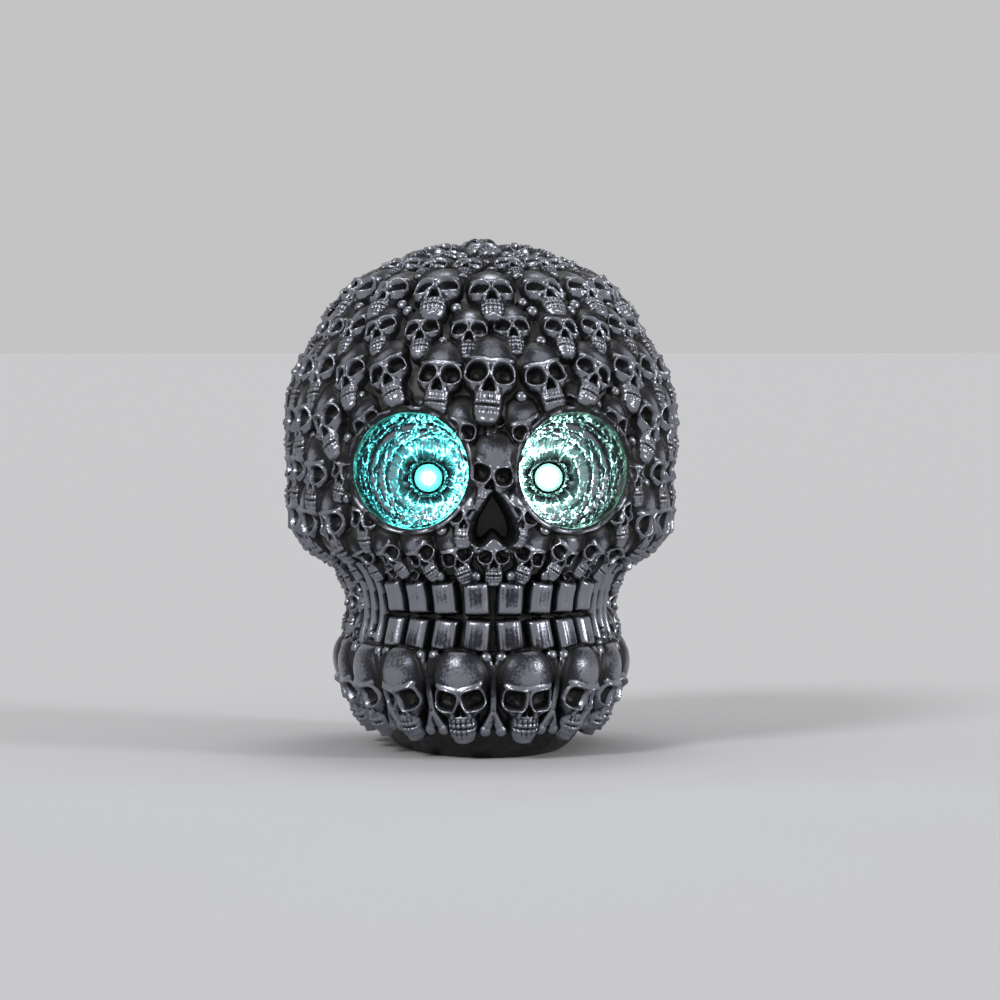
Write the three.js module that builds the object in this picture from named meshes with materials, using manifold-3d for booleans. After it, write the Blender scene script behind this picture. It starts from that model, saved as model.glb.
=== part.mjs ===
// Light-up skull decoration: a hollow skull covered with small skulls, with a lamp in each eye
// and a battery tray in its base. Millimetres, +Z up, the face looks along -Y, and the origin
// lies on the table under the middle of the skull.
import * as THREE from "three";
import { mergeVertices } from "three/addons/utils/BufferGeometryUtils.js";
import Module from "manifold-3d";

const wasm = await Module();
wasm.setup();

// Clearances
const GAP = 0.3; // between pieces that meet
const SCREW_PLAY = 0.5; // round the tray lid's screw, which swings out with the lid

// Main sizes of the skin, without the relief on it
const SKULL_WIDTH = 151;
const SKULL_DEPTH = 183;
const SKULL_HEIGHT = 202;

// Form of the skin above the foot: level sections, each with its height as a share of the skull's,
// its half width and its reach to the face and the back as shares of half the width and half the
// depth, and the roundness of its outline, where 2 is an ellipse and more is squarer. The teeth
// meet at the mouth's section, which is the waist.
const FORM = [
  { up: 0.0198, half: 0.5033, front: 0.8852, back: 0.5137, power: 2.1 },
  { up: 0.0594, half: 0.5828, front: 0.929, back: 0.5683, power: 2.25 },
  { up: 0.1188, half: 0.6689, front: 0.9617, back: 0.623, power: 2.35 },
  { up: 0.1782, half: 0.7152, front: 0.9781, back: 0.6776, power: 2.3 },
  { up: 0.2277, half: 0.7086, front: 0.9781, back: 0.7213, power: 2.1 },
  { up: 0.2772, half: 0.6689, front: 0.9727, back: 0.765, power: 2, mouth: true },
  { up: 0.3267, half: 0.6954, front: 0.9727, back: 0.8142, power: 2 },
  { up: 0.3762, half: 0.7881, front: 0.9781, back: 0.8689, power: 2.1 },
  { up: 0.4257, half: 0.9272, front: 0.9836, back: 0.918, power: 2.2 },
  { up: 0.4851, half: 0.9801, front: 0.9891, back: 0.9617, power: 2.25 },
  { up: 0.5545, half: 0.9868, front: 0.9945, back: 0.9836, power: 2.25 },
  { up: 0.6337, half: 1, front: 1, back: 0.9945, power: 2.25 },
  { up: 0.7129, half: 0.9801, front: 0.9836, back: 0.9781, power: 2.2 },
  { up: 0.7822, half: 0.9073, front: 0.9235, back: 0.929, power: 2.2 },
  { up: 0.8515, half: 0.7947, front: 0.8197, back: 0.8251, power: 2.2 },
  { up: 0.9208, half: 0.6291, front: 0.6557, back: 0.6557, power: 2.1 },
  { up: 0.9703, half: 0.4106, front: 0.4481, back: 0.4262, power: 2 },
  { up: 1, half: 0, front: 0, back: 0, power: 2 },
];
const FOOT_ROUNDNESS = 2;
const WALL = 3;
const CAVITY_COLUMNS = 28;

// Joint between the face half and the back half
const SEAM_LIP_LENGTH = 4;
const SEAM_LIP_THICKNESS = 2;
const SEAM_LIP_FROM = 24;
const SEAM_LIP_BELOW_CROWN = 12;

// Small skulls that cover the head
const SKULLS_A_ROW = 24;
const SKULL_ROW_PITCH = 20;
const SKULL_QUARTERS = 4; // points of the skin's lattice across a skull, and from row to row
const SKULL_SPANS = [4, 6, 8, 12]; // columns of the lattice that a skull may take
const SKULL_NARROWEST = 15; // the head narrows upwards, and this is where fewer skulls fit a row
const BROW_LINE = 0.757; // eye line of the row above the eyes, as a share of the skull's height
// Heights of a small skull over the skin, in quarters of a row up from its eye line: on its middle
// line, and a quarter of its width to each side
const SKULL_RELIEF = [
  { up: 2, middle: 2.2, side: 1.2 }, // top of the dome
  { up: 1, middle: 3.8, side: 3.3 }, // forehead
  { up: 0, middle: 3, side: -0.8 }, // bridge of the nose, and the eyes
  { up: -1, middle: 2, side: 2.8 }, // nose, and the cheeks
  { up: -2, middle: 4.5, side: 1.2 }, // teeth
  { up: -3, middle: 4.2, side: -0.5 }, // chin
];
const SKULL_VALLEY = -0.8; // height halfway between two small skulls
const SKULL_CHIN = 13; // from its eye line down to its chin, which stays clear of the teeth
const CROWN_PROUD = 3; // height of the smooth cap over the skin
const SKULL_MARGIN = 8; // from a skull's middle to the edge of an eye or the nose
const SKULLS_BELOW_BITE = 10; // how far down their lowest row reaches
const CROWN_CAP = 5; // how far below the crown that cap begins

// Large skulls round the jaw
const JAW_SKULLS = 16;
const JAW_SKULL_WIDTH = 23.5;
const JAW_DOME_HEIGHT = 24;
const JAW_DOME_Z = 30;
const JAW_FACE_WIDTH = 13;
const JAW_FACE_HEIGHT = 17;
const JAW_FACE_Z = 13.5;
const JAW_PROUD = 6.5;
const JAW_FACE_PROUD = 5;
const JAW_EYE_X = 4.7;
const JAW_EYE_Z = 25;
const JAW_EYE_RADIUS = 4.6;
const JAW_EYE_DEPTH = 5;
const JAW_BONE_WIDTH = 5; // the bones between two jaw skulls
const JAW_BONE_LENGTH = 34;
const JAW_BONE_Z = 25;
const JAW_BONE_PROUD = 2.8;

// Smaller skulls that stand on the upper teeth
const CHEEK_SKULLS_A_SIDE = 3;
const CHEEK_SKULL_PITCH = 15;
const CHEEK_DOME_WIDTH = 15;
const CHEEK_DOME_HEIGHT = 14;
const CHEEK_DOME_UP = 16; // from the teeth to its middle
const CHEEK_FACE_WIDTH = 9;
const CHEEK_FACE_HEIGHT = 14;
const CHEEK_FACE_UP = 7;
const CHEEK_PROUD = 3;

// Teeth, and the long bones between cheek and jaw
const TEETH_A_SIDE = 4;
const TOOTH_PITCH = 13.2;
const TOOTH_WIDTH = 11;
const TOOTH_PROUD = 3.5;
const TOOTH_SUNK = 2.5;
const TOOTH_ROUNDING = 1.4;
const BITE_GAP = 2;
const UPPER_TOOTH_HEIGHT = 12.5;
const LOWER_TOOTH_HEIGHT = 12;
const BONES_A_SIDE = 3;
const BONE_RADIUS = 3;
const BONE_PITCH = 8.4;
const BONES_PAST_TEETH = 5.5;
const BONES_FROM_X = 36;
const BONE_BELOW_BITE = 10;
const BONE_ABOVE_BITE = 23;
const BONE_PROUD = 3; // at its middle; its ends are sunk in the skin by its radius

// Eye sockets: a bowl that runs in from the rim to a round floor with the lamp in it
const EYE_LINE = 0.5644; // height of the eyes as a share of the skull's
const SOCKET_X = 32;
const SOCKET_HALF_WIDTH = 22;
const SOCKET_HALF_HEIGHT = 23;
const SOCKET_SET_IN = 2; // from the skin to the middle of the rim
const SOCKET_RIM_SLOPE = 0.42; // the rim falls back towards the temple
const SOCKET_DEPTH = 28;
const SOCKET_FLOOR_RADIUS = 9.5;
const SOCKET_SEGMENTS = 22;
const SOCKET_STEPS = 4;
const LAMP_TO_NOSE = 8; // from the middle of a rim to its lamp, sideways
const LAMP_DROP = 4; // and downwards

// Nose opening
const NOSE_BELOW_EYES = 7;
const NOSE_HEIGHT = 23;
const NOSE_HALF_WIDTH = 10;
const NOSE_DEPTH = 14;

// Lamps and their holders
const LAMP_RADIUS = 2.5;
const LAMP_LENGTH = 8.6;
const LAMP_FLANGE_RADIUS = 2.95;
const LAMP_FLANGE_THICKNESS = 1;
const LAMP_LEG_LENGTH = 6;
const LAMP_LEG_WIDTH = 0.6;
const LAMP_LEG_PITCH = 2.54;
const HOLDER_WALL = 1.4;
const HOLDER_FLANGE_REACH = 1.4;
const HOLDER_FLANGE_THICKNESS = 1.2;
const HOLDER_TAIL = 2;

// Base cover, which sets the size of the foot
const COVER_SIDE_EDGE = 9; // from the lid's hinge pins to the cover's edge
const COVER_FRONT_EDGE = 6.8; // from the circuit board's post
const COVER_REAR_EDGE = 16; // from the rear bosses
const FOOT_RIM = 4.5; // width of the flat rim that the skull stands on
const PLATE_BOTTOM = 0.5;
const PLATE_THICKNESS = 4;
const PLATE_SEGMENTS = 48;
const SCREW_RADIUS = 1.4;
const SCREW_LENGTH = 10;
const SCREW_HEAD_RADIUS = 2.8;
const SCREW_HEAD_HEIGHT = 1.9;
const SCREW_SLOT_WIDTH = 0.8;
const SCREW_SLOT_DEPTH = 0.9;
const BOSS_RADIUS = 3.8;
const BOSS_HEIGHT = 12;
const RIB_THICKNESS = 2.2;
const FRONT_BOSS_X = 15;
const REAR_BOSS_X = 15;

// Battery tray for three size AAA cells, side by side
const CELLS = 3;
const CELL_RADIUS = 5.25;
const CELL_LENGTH = 44.5;
const CELL_BUTTON_RADIUS = 1.9;
const CELL_BUTTON_LENGTH = 0.8;
const CELL_SPACING = 0.4;
const SPRING_LENGTH = 4;
const SPRING_TURNS = 3;
const SPRING_BASE_RADIUS = 3.6;
const SPRING_TIP_RADIUS = 2.2;
const SPRING_WIRE_RADIUS = 0.3;
const CONTACT_THICKNESS = 0.5;
const CONTACT_WIDTH = 8;
const CONTACT_HEIGHT = 8.4;
const CONTACT_TAB_WIDTH = 2;
const CONTACT_TAB_RISE = 2.5;
const TRAY_WALL = 1.6;
const TRAY_Y = -15;

// Lid of the battery tray
const LID_THICKNESS = 2.8;
const LID_LAP = 1.6; // how far the lid reaches past the tray's inside at its sides
const LID_TAB = 7.5; // how far it reaches past the tray's front for its screw
const LID_PIN_RADIUS = 0.6;
const LID_PIN_LENGTH = 2;
const LID_SCREW_GRIP = 5.5; // how far it reaches into the cover
const LID_SCREW_HEAD_HEIGHT = 1.2;
const LID_GRIP_RIBS = 4;

// Slide switch, circuit board and leads
const SWITCH_TRAVEL = 4;
const KNOB_LENGTH = 4;
const KNOB_WIDTH = 2.2;
const KNOB_ABOVE_TABLE = 0.9;
const SLIDER_LENGTH = 7;
const SLIDER_WIDTH = 4.4;
const SLIDER_THICKNESS = 1.4;
const SWITCH_WALL = 1.2;
const SWITCH_HEIGHT = 5.4;
const SWITCH_SETBACK = 7.5; // from the lid's front edge to the middle of the switch
const SWITCH_RECESS_DEPTH = 1.6;
const SWITCH_RECESS_MARGIN = 1.6;
const BOARD_WIDTH = 17;
const BOARD_LENGTH = 18;
const BOARD_THICKNESS = 1.6;
const POST_RADIUS = 2.2;
const BOARD_SCREW_RADIUS = 0.9;
const BOARD_SCREW_LENGTH = 5;
const BOARD_SCREW_HEAD_RADIUS = 1.8;
const BOARD_SCREW_HEAD_HEIGHT = 1.2;
const RESISTOR_RADIUS = 1.1;
const RESISTOR_LENGTH = 6;
const LAMP_LEAD_RADIUS = 1.1;
const BATTERY_LEAD_RADIUS = 0.7;

// Sizes that follow from those above
const PLATE_TOP = PLATE_BOTTOM + PLATE_THICKNESS;
const LID_TOP = PLATE_BOTTOM + LID_THICKNESS;
const CELL_PITCH = 2 * CELL_RADIUS + CELL_SPACING;
const CELL_Z = LID_TOP + GAP + CELL_RADIUS;
const TRAY_WIDTH = CELLS * CELL_PITCH;
const TRAY_LENGTH = CELL_LENGTH + SPRING_LENGTH + 2 * CONTACT_THICKNESS + 4 * GAP;
const TRAY_FRONT = TRAY_Y - TRAY_LENGTH / 2;
const TRAY_REAR = TRAY_Y + TRAY_LENGTH / 2;
const TRAY_CEILING = CELL_Z + CELL_RADIUS + GAP;
const TRAY_ROOF = TRAY_CEILING + TRAY_WALL;
const LID_HALF_WIDTH = TRAY_WIDTH / 2 + LID_LAP;
const LID_FRONT = TRAY_FRONT - LID_TAB;
const HINGE_RADIUS = LID_THICKNESS / 2;
const HINGE_Y = TRAY_REAR + TRAY_WALL;
const HINGE_Z = PLATE_BOTTOM + HINGE_RADIUS;
const LID_SCREW_Y = LID_FRONT + SCREW_HEAD_RADIUS + GAP + 0.8;
const SWITCH_Y = LID_FRONT - SWITCH_SETBACK;
const SWITCH_LENGTH = SLIDER_LENGTH + SWITCH_TRAVEL + 2 * GAP + 2 * SWITCH_WALL;
const SWITCH_WIDTH = SLIDER_WIDTH + 2 * GAP + 2 * SWITCH_WALL;
const SWITCH_BOTTOM = PLATE_TOP + GAP;
const BOARD_BOTTOM = SWITCH_BOTTOM + SWITCH_HEIGHT + GAP;
const BOARD_TOP = BOARD_BOTTOM + BOARD_THICKNESS;
const BOARD_Y = SWITCH_Y - 2;
const POST_Y = SWITCH_Y - SWITCH_WIDTH / 2 - POST_RADIUS - 1;
const FRONT_BOSS_Y = LID_FRONT - GAP - BOSS_RADIUS - 1;
const REAR_BOSS_Y = HINGE_Y + HINGE_RADIUS + GAP + BOSS_RADIUS + 1;
const HOLDER_RADIUS = LAMP_RADIUS + GAP + HOLDER_WALL;
const PIN_REACH = LID_HALF_WIDTH + LID_PIN_LENGTH;
const FOOT = {
  z: 0,
  half: PIN_REACH + GAP + COVER_SIDE_EDGE + GAP + FOOT_RIM,
  front: -POST_Y + POST_RADIUS + COVER_FRONT_EDGE + GAP + FOOT_RIM,
  back: REAR_BOSS_Y + BOSS_RADIUS + COVER_REAR_EDGE + GAP + FOOT_RIM,
  power: FOOT_ROUNDNESS,
};
const RINGS = [FOOT, ...FORM.map(({ up, half, front, back, power, mouth }) => ({
  z: up * SKULL_HEIGHT, half: (half * SKULL_WIDTH) / 2,
  front: (front * SKULL_DEPTH) / 2, back: (back * SKULL_DEPTH) / 2, power, mouth,
}))];
const BITE_Z = RINGS.find((ring) => ring.mouth).z;
const BROW_Z = BROW_LINE * SKULL_HEIGHT;
const COLUMNS = SKULLS_A_ROW * SKULL_QUARTERS;
const BONE_FROM_Z = BITE_Z - BONE_BELOW_BITE;
const BONE_TO_Z = BITE_Z + BONE_ABOVE_BITE;
const SKULLS_FROM_Z = BITE_Z - SKULLS_BELOW_BITE;
const SKULLS_TO_Z = SKULL_HEIGHT - CROWN_CAP;
const SOCKET_Z = EYE_LINE * SKULL_HEIGHT;
const SOCKET_RIM_Y = faceY(SOCKET_X, SOCKET_Z) + SOCKET_SET_IN;
const SOCKET_FLOOR_Y = SOCKET_RIM_Y + SOCKET_DEPTH;
const LAMP_X = SOCKET_X - LAMP_TO_NOSE;
const LAMP_Z = SOCKET_Z - LAMP_DROP;
const NOSE_TOP_Z = SOCKET_Z - NOSE_BELOW_EYES;
const NOSE_BOTTOM_Z = NOSE_TOP_Z - NOSE_HEIGHT;
const FAR = 300; // past everything

// Solids: three.js shapes in, joined and cut, three.js shapes out

/** A closed three.js geometry as a solid, with its shared vertices merged and slivers dropped. */
function solid(geometry) {
  const bare = new THREE.BufferGeometry().setIndex(geometry.index);
  bare.setAttribute("position", geometry.getAttribute("position"));
  const merged = mergeVertices(bare, 1e-4);
  const corners = merged.index.array;
  const kept = [];
  for (let i = 0; i < corners.length; i += 3) {
    const [a, b, c] = corners.slice(i, i + 3);
    if (a !== b && b !== c && c !== a) kept.push(a, b, c);
  }
  const vertProperties = new Float32Array(merged.attributes.position.array);
  const triVerts = new Uint32Array(kept);
  return new wasm.Manifold(new wasm.Mesh({ numProp: 3, vertProperties, triVerts }));
}

/** A solid as a three.js geometry. */
function geometryOf(shape) {
  const { vertProperties, triVerts } = shape.getMesh();
  const made = new THREE.BufferGeometry();
  made.setAttribute("position", new THREE.BufferAttribute(vertProperties, 3));
  made.setIndex(new THREE.BufferAttribute(triVerts, 1));
  made.computeVertexNormals();
  return made;
}

const joined = (shapes) => shapes.reduce((whole, next) => whole.add(next));

/** A box by its lowest and highest corners. */
function box(low, high) {
  const size = high.map((value, i) => value - low[i]);
  const middle = high.map((value, i) => (value + low[i]) / 2);
  return solid(new THREE.BoxGeometry(...size).translate(...middle));
}

/** An upright round bar from one height to another. */
function post(radius, x, y, from, to, segments = 16) {
  const bar = new THREE.CylinderGeometry(radius, radius, to - from, segments);
  return solid(bar.rotateX(Math.PI / 2).translate(x, y, (from + to) / 2));
}

/** A shape turned about the Y axis, from [radius, y] pairs that start and end on the axis. */
function turned(profile, segments, x, z) {
  const points = profile.map(([radius, y]) => new THREE.Vector2(radius, y));
  return solid(new THREE.LatheGeometry(points, segments).translate(x, 0, z));
}

/** A tube along a smooth curve through points. */
function tube(points, radius, steps, sides = 6) {
  const path = new THREE.CatmullRomCurve3(points.map((p) => new THREE.Vector3(...p)));
  const section = new THREE.Shape().absarc(0, 0, radius, 0, 2 * Math.PI);
  const settings = { steps, extrudePath: path, curveSegments: sides / 2 };
  return solid(new THREE.ExtrudeGeometry(section, settings));
}

/**
 * A closed skin over rows of points: every row is a ring, and each end is closed by one point.
 * The squares are split so that every second point has all the diagonals, from the first or not.
 */
function ringSolid(rows, start, end, first = 0) {
  const count = rows[0].length;
  const points = [start, ...rows.flat(), end];
  const last = points.length - 1;
  const faces = [];
  const at = (row, column) => 1 + row * count + (column % count);
  for (let column = 0; column < count; column++) {
    faces.push(0, at(0, column + 1), at(0, column));
    faces.push(last, at(rows.length - 1, column), at(rows.length - 1, column + 1));
    for (let row = 0; row < rows.length - 1; row++) {
      const [a, b] = [at(row, column), at(row, column + 1)];
      const [c, d] = [at(row + 1, column + 1), at(row + 1, column)];
      const even = (row + column + first) % 2 === 0;
      faces.push(...(even ? [a, b, c, a, c, d] : [a, b, d, b, c, d]));
    }
  }
  const made = new THREE.BufferGeometry().setFromPoints(points);
  return solid(made.setIndex(faces));
}

// The skin

/** One value of the sections, carried smoothly past the sections that lie around level. */
function between(key, level) {
  const top = RINGS.length - 1;
  const i = Math.min(Math.floor(level), top - 1);
  const f = level - i;
  const [b, c] = [RINGS[i][key], RINGS[i + 1][key]];
  const a = i > 0 ? RINGS[i - 1][key] : 2 * b - c;
  const mirror = ["half", "front", "back"].includes(key) ? -1 : 1; // past the crown it comes down
  const d = i + 2 <= top ? RINGS[i + 2][key] : mirror * b;
  const curve = (3 * b - a - 3 * c + d) * f + (2 * a - 5 * b + 4 * c - d);
  return b + 0.5 * f * (c - a + f * curve);
}

/** A point of the skin: angle 0 is the middle of the face and a quarter turn is the right side. */
function bare(angle, level) {
  const roundness = between("power", level);
  const power = (value) => Math.sign(value) * Math.abs(value) ** (2 / roundness);
  const reach = Math.cos(angle) > 0 ? between("front", level) : between("back", level);
  const x = between("half", level) * power(Math.sin(angle));
  return new THREE.Vector3(x, -reach * power(Math.cos(angle)), between("z", level));
}

/** The skin's outward direction, from points a little to each side. */
function outward(angle, level) {
  const nudge = 0.02;
  const top = RINGS.length - 1;
  if (level > top - nudge) return new THREE.Vector3(0, 0, 1);
  const across = bare(angle + nudge, level).sub(bare(angle - nudge, level));
  const up = bare(angle, level + nudge).sub(bare(angle, Math.max(level - nudge, 0)));
  return across.cross(up).normalize();
}

/** A point that stands off the skin. */
const skin = (angle, level, proud) =>
  outward(angle, level).multiplyScalar(proud).add(bare(angle, level));

/** The level at which the skin has a height. */
function levelOf(height) {
  let [low, high] = [0, RINGS.length - 1];
  for (let turn = 0; turn < 40; turn++) {
    const middle = (low + high) / 2;
    if (between("z", middle) < height) low = middle;
    else high = middle;
  }
  return low;
}

/** How far forward the face lies at a place beside the middle and at a height. */
function faceY(x, z) {
  const level = levelOf(z);
  const roundness = between("power", level);
  const share = Math.abs(x) / between("half", level);
  return -between("front", level) * (1 - share ** roundness) ** (1 / roundness);
}

/** Lengths along the skin at a level from the middle of the face to that of the back, by angle. */
function arcAt(level) {
  const samples = 240;
  const lengths = [0];
  for (let i = 1; i <= samples; i++) {
    const step = bare((Math.PI * i) / samples, level);
    const before = bare((Math.PI * (i - 1)) / samples, level);
    lengths.push(lengths[i - 1] + step.distanceTo(before));
  }
  const angleOf = (length) => {
    const i = Math.max(1, lengths.findIndex((l) => l >= length));
    const share = (length - lengths[i - 1]) / (lengths[i] - lengths[i - 1]);
    return (Math.PI * (i - 1 + share)) / samples;
  };
  return { total: lengths[samples], angleOf };
}

/** The plain skin as a solid, let out by an offset. */
function skinSolid(offset) {
  const rows = [];
  const top = RINGS.length - 1;
  for (let level = 0; level < top; level++) {
    const ring = [];
    for (let column = 0; column < CAVITY_COLUMNS; column++)
      ring.push(skin((2 * Math.PI * column) / CAVITY_COLUMNS, level, offset));
    rows.push(ring);
  }
  return ringSolid(rows, new THREE.Vector3(0, 0, rows[0][0].z), skin(0, top, offset));
}

/** Directions at a point of the skin: along the level, up and outwards. */
function axesAt(angle, level) {
  const out = outward(angle, level);
  const right = new THREE.Vector3(0, 0, 1).cross(out).normalize();
  if (right.lengthSq() < 0.5) right.set(1, 0, 0);
  return { right, up: out.clone().cross(right), out };
}

/** Places a shape on the skin: its X runs along the level, its Y up and its Z outwards. */
function onSkin(geometry, angle, level, proud) {
  const { right, up, out } = axesAt(angle, level);
  const place = new THREE.Matrix4().makeBasis(right, up, out);
  return geometry.applyMatrix4(place.setPosition(skin(angle, level, proud)));
}

// The relief of small skulls, and the large skulls of the jaw

/** True where the face has an eye, the nose, the teeth or the long bones. */
function isFace({ x, y, z }) {
  const margin = SKULL_MARGIN;
  if (y > 0) return false;
  const acrossEye = (Math.abs(x) - SOCKET_X) / (SOCKET_HALF_WIDTH + margin);
  const upEye = (z - SOCKET_Z) / (SOCKET_HALF_HEIGHT + margin);
  const inEye = acrossEye ** 2 + upEye ** 2 < 1;
  const inNose = Math.abs(x) < NOSE_HALF_WIDTH + margin && z > NOSE_BOTTOM_Z && z < NOSE_TOP_Z;
  const inTeeth = z < BITE_Z + UPPER_TOOTH_HEIGHT + SKULL_CHIN;
  const byBones = Math.abs(x) > BONES_FROM_X && z < BONE_TO_Z;
  return inEye || inNose || inTeeth || byBones;
}

/** A dome of the jaw or cheeks: its middle, directions and half sizes. One that is sunk is a pit. */
function dome(angle, z, width, height, proud) {
  const level = levelOf(z);
  const half = { halfWidth: width / 2, halfHeight: height / 2 };
  return { at: bare(angle, level), ...axesAt(angle, level), ...half, proud };
}

/** The large skulls of the jaw: a wide dome over a narrow face with two eyes, and bones between. */
function jawDomes() {
  const made = [];
  const arc = arcAt(levelOf(JAW_DOME_Z));
  const pitch = (2 * arc.total) / JAW_SKULLS;
  const eye = 2 * JAW_EYE_RADIUS;
  const place = (run) => (run > 0 ? arc.angleOf(run) : -arc.angleOf(-run));
  for (let i = -JAW_SKULLS / 2; i < JAW_SKULLS / 2; i++) {
    const middle = (i + 0.5) * pitch;
    made.push(dome(place(middle), JAW_DOME_Z, JAW_SKULL_WIDTH, JAW_DOME_HEIGHT, JAW_PROUD));
    made.push(dome(place(middle), JAW_FACE_Z, JAW_FACE_WIDTH, JAW_FACE_HEIGHT, JAW_FACE_PROUD));
    for (const side of [1, -1])
      made.push(dome(place(middle + side * JAW_EYE_X), JAW_EYE_Z, eye, eye, -JAW_EYE_DEPTH));
    made.push(dome(place(i * pitch), JAW_BONE_Z, JAW_BONE_WIDTH, JAW_BONE_LENGTH, JAW_BONE_PROUD));
  }
  return made;
}

/** The smaller skulls that stand in a row on the upper teeth: a dome over a narrow face. */
function cheekDomes() {
  const made = [];
  const teethTop = BITE_Z + BITE_GAP / 2 + UPPER_TOOTH_HEIGHT;
  const [domeZ, faceZ] = [teethTop + CHEEK_DOME_UP, teethTop + CHEEK_FACE_UP];
  const arc = arcAt(levelOf(domeZ));
  for (let i = -CHEEK_SKULLS_A_SIDE; i <= CHEEK_SKULLS_A_SIDE; i++) {
    const angle = Math.sign(i) * arc.angleOf(Math.abs(i) * CHEEK_SKULL_PITCH);
    made.push(dome(angle, domeZ, CHEEK_DOME_WIDTH, CHEEK_DOME_HEIGHT, CHEEK_PROUD));
    made.push(dome(angle, faceZ, CHEEK_FACE_WIDTH, CHEEK_FACE_HEIGHT, CHEEK_PROUD));
  }
  return made;
}

/** How far a set of domes stands off the skin at a point. */
function domeHeight(domes) {
  const offset = new THREE.Vector3();
  return (point) => {
    let [height, sunk] = [0, 0];
    for (const { at, right, up, halfWidth, halfHeight, proud } of domes) {
      offset.copy(point).sub(at);
      if (offset.lengthSq() > halfHeight * halfHeight) continue;
      const across = offset.dot(right) / halfWidth;
      const along = offset.dot(up) / halfHeight;
      const left = 1 - across * across - along * along;
      if (left > 0 && proud > 0) height = Math.max(height, proud * Math.sqrt(left));
      if (left > 0 && proud < 0) sunk = Math.min(sunk, proud * Math.sqrt(left));
    }
    return height + sunk;
  };
}

/** Rows of the lattice: levels an equal distance apart up the side of the head, numbered from brow. */
function latticeRows(pitch, brow) {
  const [diagonal, stride] = [Math.PI / 4, 0.02];
  const climbs = [{ level: 0, climb: 0 }];
  for (let level = stride; level < RINGS.length - 1; level += stride) {
    const step = bare(diagonal, level).distanceTo(bare(diagonal, level - stride));
    climbs.push({ level, climb: climbs.at(-1).climb + step });
  }
  const base = climbs.find(({ level }) => level >= brow).climb;
  const first = -Math.floor(base / pitch);
  const rows = [{ level: 0, row: first - 1 }];
  for (const { level, climb } of climbs) {
    const row = rows.at(-1).row + 1;
    if (climb >= base + row * pitch && between("half", level) > pitch / 2) rows.push({ level, row });
  }
  return rows;
}

/** One row of the lattice, with its points at equal steps round the skin from the middle of the face. */
function latticeLine({ level, row }) {
  const { total, angleOf } = arcAt(level);
  const stepLength = (2 * total) / COLUMNS;
  const span = SKULL_SPANS.find((columns) => columns * stepLength > SKULL_NARROWEST);
  const spots = [];
  for (let column = 0; column < COLUMNS; column++) {
    const round = column * stepLength;
    const angle = round > total ? -angleOf(2 * total - round) : angleOf(round);
    const at = bare(angle, level);
    const free = at.z > SKULLS_FROM_Z && at.z < SKULLS_TO_Z && !isFace(at);
    spots.push({ angle, at, free });
  }
  return { level, row, span: span ?? SKULL_SPANS.at(-1), spots };
}

/**
 * The skin with its relief. Its points form a lattice, in which every fourth row holds the eye line
 * of a row of small skulls, and each row of skulls is shifted by half a skull against the next.
 */
function reliefSkin() {
  const domed = domeHeight([...jawDomes(), ...cheekDomes()]);
  const lines = latticeRows(SKULL_ROW_PITCH / SKULL_QUARTERS, levelOf(BROW_Z)).map(latticeLine);
  const lineAt = new Map(lines.map((line) => [line.row, line]));
  const skullHeight = (row, column) => {
    let height = -Infinity;
    for (const { up, middle, side } of SKULL_RELIEF) {
      const line = lineAt.get(row - up);
      if (!line || line.row % SKULL_QUARTERS) continue;
      const shift = (line.row / SKULL_QUARTERS) % 2 ? line.span / 2 : 0;
      const nearest = Math.round((column - shift) / line.span) * line.span + shift;
      if (!line.spots[(nearest + COLUMNS) % COLUMNS].free) continue;
      const quarters = (SKULL_QUARTERS * Math.abs(column - nearest)) / line.span;
      const inner = THREE.MathUtils.lerp(middle, side, quarters);
      const outer = THREE.MathUtils.lerp(side, SKULL_VALLEY, quarters - 1);
      height = Math.max(height, quarters < 1 ? inner : outer);
    }
    return height;
  };
  const rows = lines.map(({ level, row, spots }) => spots.map(({ angle, at }, column) => {
    const carved = Math.max(skullHeight(row, column), domed(at) || -Infinity);
    const plain = at.z > SKULLS_TO_Z ? CROWN_PROUD : 0;
    return skin(angle, level, Number.isFinite(carved) ? carved : plain);
  }));
  const tip = skin(0, RINGS.length - 1, CROWN_PROUD);
  const footRow = Math.abs(lines[0].row);
  return ringSolid(rows, new THREE.Vector3(0, 0, rows[0][0].z), tip, footRow);
}

// Teeth and long bones

/** A tooth: a rounded block with its face outwards. */
function toothShape(height) {
  const [x, y] = [TOOTH_WIDTH / 2 - TOOTH_ROUNDING, height / 2 - TOOTH_ROUNDING];
  const outline = new THREE.Shape([
    new THREE.Vector2(-x, -y), new THREE.Vector2(x, -y),
    new THREE.Vector2(x, y), new THREE.Vector2(-x, y),
  ]);
  const settings = {
    depth: TOOTH_PROUD + TOOTH_SUNK - 2 * TOOTH_ROUNDING,
    bevelThickness: TOOTH_ROUNDING, bevelSize: TOOTH_ROUNDING, bevelSegments: 1,
  };
  return new THREE.ExtrudeGeometry(outline, settings).translate(0, 0, TOOTH_ROUNDING);
}

function teeth() {
  const rows = [
    { height: UPPER_TOOTH_HEIGHT, z: BITE_Z + BITE_GAP / 2 + UPPER_TOOTH_HEIGHT / 2 },
    { height: LOWER_TOOTH_HEIGHT, z: BITE_Z - BITE_GAP / 2 - LOWER_TOOTH_HEIGHT / 2 },
  ];
  return rows.flatMap(({ height, z }) => {
    const level = levelOf(z);
    const arc = arcAt(level);
    const made = [];
    for (let i = 0; i < TEETH_A_SIDE; i++) {
      const angle = arc.angleOf((i + 0.5) * TOOTH_PITCH);
      for (const side of [1, -1])
        made.push(solid(onSkin(toothShape(height), side * angle, level, -TOOTH_SUNK)));
    }
    return made;
  });
}

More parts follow.
